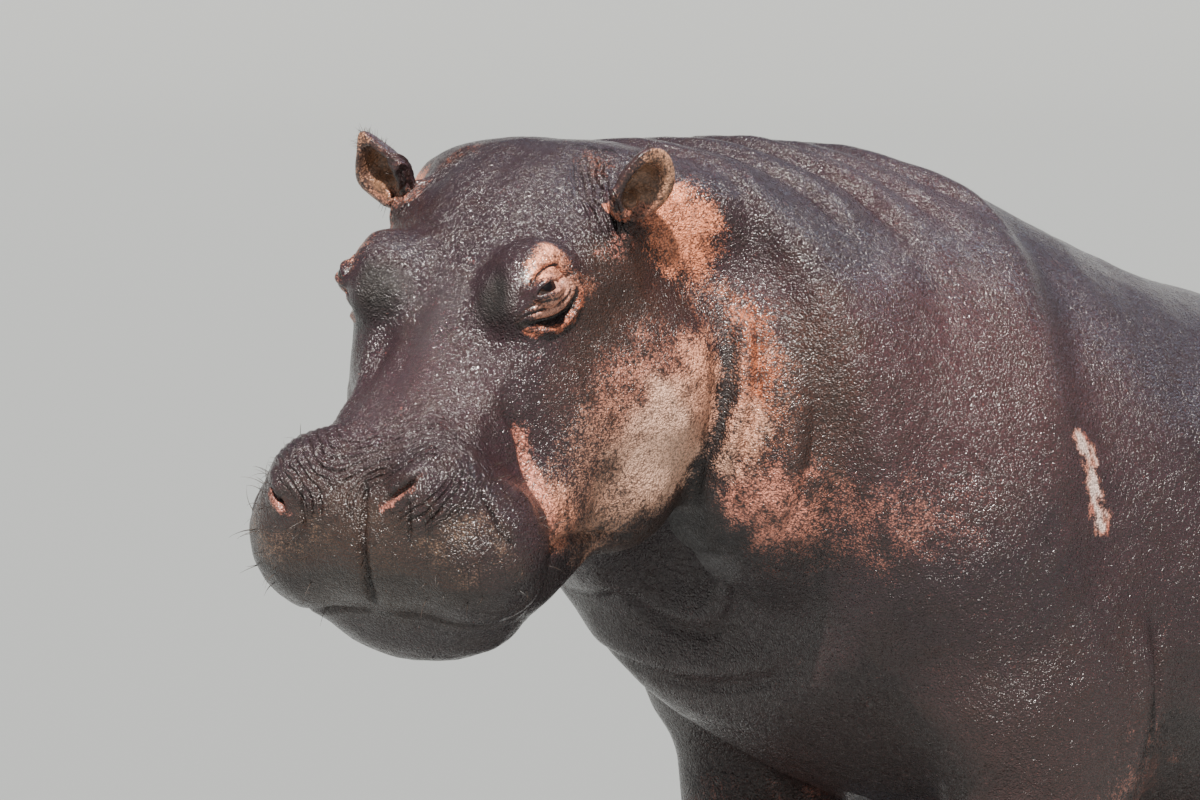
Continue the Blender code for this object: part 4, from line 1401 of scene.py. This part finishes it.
def make_bristles(skin):
    """Hairs on the ears' rims and feet, on the muzzle's pads and at the end of the tail."""
    hairs = Bristles(skin, 7)
    random = hairs.random
    for side, _ in SIDES:
        ear_axis = (HEAD_TURN @ Vector((side * 0.45, 0.2, 0.85))).normalized()
        for _ in range(110):
            across, ahead = random.uniform(0.205, 0.285), random.uniform(-0.30, -0.20)
            above = random.uniform(0.03, 0.125)
            place, normal = hairs.on_skin(face(side * across, ahead, above), 0.004)
            out = (normal * 0.8 + ear_axis * 0.6).normalized()
            length = random.uniform(0.008, 0.018)
            hairs.grow(place, out, length, 0.00045, 0.10, random.uniform(-0.2, 0.2))
        for _ in range(26):
            place, normal = hairs.on_skin(face(side * 0.225, -0.235, -0.02), 0.014)
            hairs.grow(
                place, normal + Vector((0, 0, -0.6)), random.uniform(0.012, 0.026), 0.0005, 0.25,
                0.15,
            )
        for _ in range(64):
            across, ahead = random.uniform(0.10, 0.24), random.uniform(0.26, 0.42)
            above = random.uniform(-0.29, -0.11)
            place, normal = hairs.on_skin(face(side * across, ahead, above), 0.006)
            length = 0.014 + 0.036 * random.uniform(0, 1) ** 1.5
            curl = random.uniform(-0.3, 0.3)
            hairs.grow(place, normal + Vector((0, 0, 0.2)), length, 0.0008, 0.16, curl)
    low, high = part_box("tail")
    for _ in range(150):
        near = (0.0, (low.y + high.y) / 2, random.uniform(low.z, low.z + 0.10))
        place, normal = hairs.on_skin(near, 0.008)
        hairs.grow(place, normal + Vector((0, 0.1, -0.7)), random.uniform(0.02, 0.045), 0.0006, 0.3)
    hairs.finish("bristles")


# ---- Camera, light and stage ----
def bearing(azimuth, rise):
    """The way to something round the animal, by degrees from its front to its left, and upwards."""
    azimuth, rise = radians(azimuth), radians(rise)
    return Vector((sin(azimuth) * cos(rise), -cos(azimuth) * cos(rise), sin(rise)))


def place_looking(name, data, back):
    """A camera or a light that looks against the given way."""
    holder = bpy.data.objects.new(name, data)
    bpy.context.scene.collection.objects.link(holder)
    holder.rotation_euler = (-back).to_track_quat("-Z", "Y").to_euler()
    return holder


def make_camera():
    """Looks at the head and shoulders from the animal's left front, a little from above."""
    distance, view_width = 14.0, 1.8405
    target = Vector((0.5323, -1.3547, 1.15))
    back = bearing(55, 5)
    camera = bpy.data.cameras.new("camera")
    camera.sensor_width = 36.0
    camera.lens = camera.sensor_width * distance / view_width
    camera.clip_end = 200.0
    holder = place_looking("camera", camera, back)
    holder.location = target + back * distance
    bpy.context.scene.camera = holder


def make_light(name, azimuth, rise, strength, spread, colour):
    """A soft light from far off: spread is the width of its disc in degrees."""
    light = bpy.data.lights.new(name, "SUN")
    light.energy = strength
    light.angle = radians(spread)
    light.color = colour
    place_looking(name, light, bearing(azimuth, rise))


def make_stage():
    """A pale floor that sweeps up behind the animal, all round, far off."""
    bm = bmesh.new()
    bmesh.ops.create_circle(bm, cap_ends=True, segments=96, radius=FLOOR_RADIUS)
    rim = [edge for edge in bm.edges if edge.is_boundary]
    for step in range(1, 9):
        angle = step / 8 * pi / 2
        grown = bmesh.ops.extrude_edge_only(bm, edges=rim)["geom"]
        rim = [part for part in grown if isinstance(part, bmesh.types.BMEdge)]
        for vert in {vert for edge in rim for vert in edge.verts}:
            flat = Vector((vert.co.x, vert.co.y, 0)).normalized()
            rise = SWEEP_RADIUS * (1 - cos(angle))
            vert.co = flat * (FLOOR_RADIUS + SWEEP_RADIUS * sin(angle)) + Vector((0, 0, rise))
    floor = new_object("floor", bm)
    floor.data.shade_smooth()
    material = bpy.data.materials.new("floor")
    material.use_nodes = True
    shader = material.node_tree.nodes["Principled BSDF"]
    shader.inputs["Base Color"].default_value = (0.20, 0.211, 0.211, 1.0)
    shader.inputs["Roughness"].default_value = 0.9
    floor.data.materials.append(material)
    world = bpy.data.worlds.new("studio")
    world.use_nodes = True
    sky = world.node_tree.nodes["Background"]
    sky.inputs["Color"].default_value = (0.72, 0.84, 1.0, 1.0)
    sky.inputs["Strength"].default_value = 0.22
    bpy.context.scene.world = world


# ---- Making it all ----
make_camera()
make_light("key", 49, 57, 13.4, 2.0, (1.0, 0.95, 0.89))
make_light("rim", 200, 40, 0.5, 25.0, (0.62, 0.78, 1.0))
make_stage()

hide = make_skin()
hide.map_surface()
work_body(hide)
add_unevenness(hide)
work_head(hide)
work_muzzle(hide)
work_rings(hide)
open_lids(hide)
hide.map_surface()
fold_lids(hide)
cover_eyeballs(hide)
work_ears(hide)
thin_out(hide)
hide.map_surface()
paint_skin(hide)
hide.obj.data.materials.clear()
hide.obj.data.materials.append(hide_material())
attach(hide.obj, "root")
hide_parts(*FLESH, "ear_left", "ear_right")
make_eyeballs()
make_nails()
make_bristles(hide)
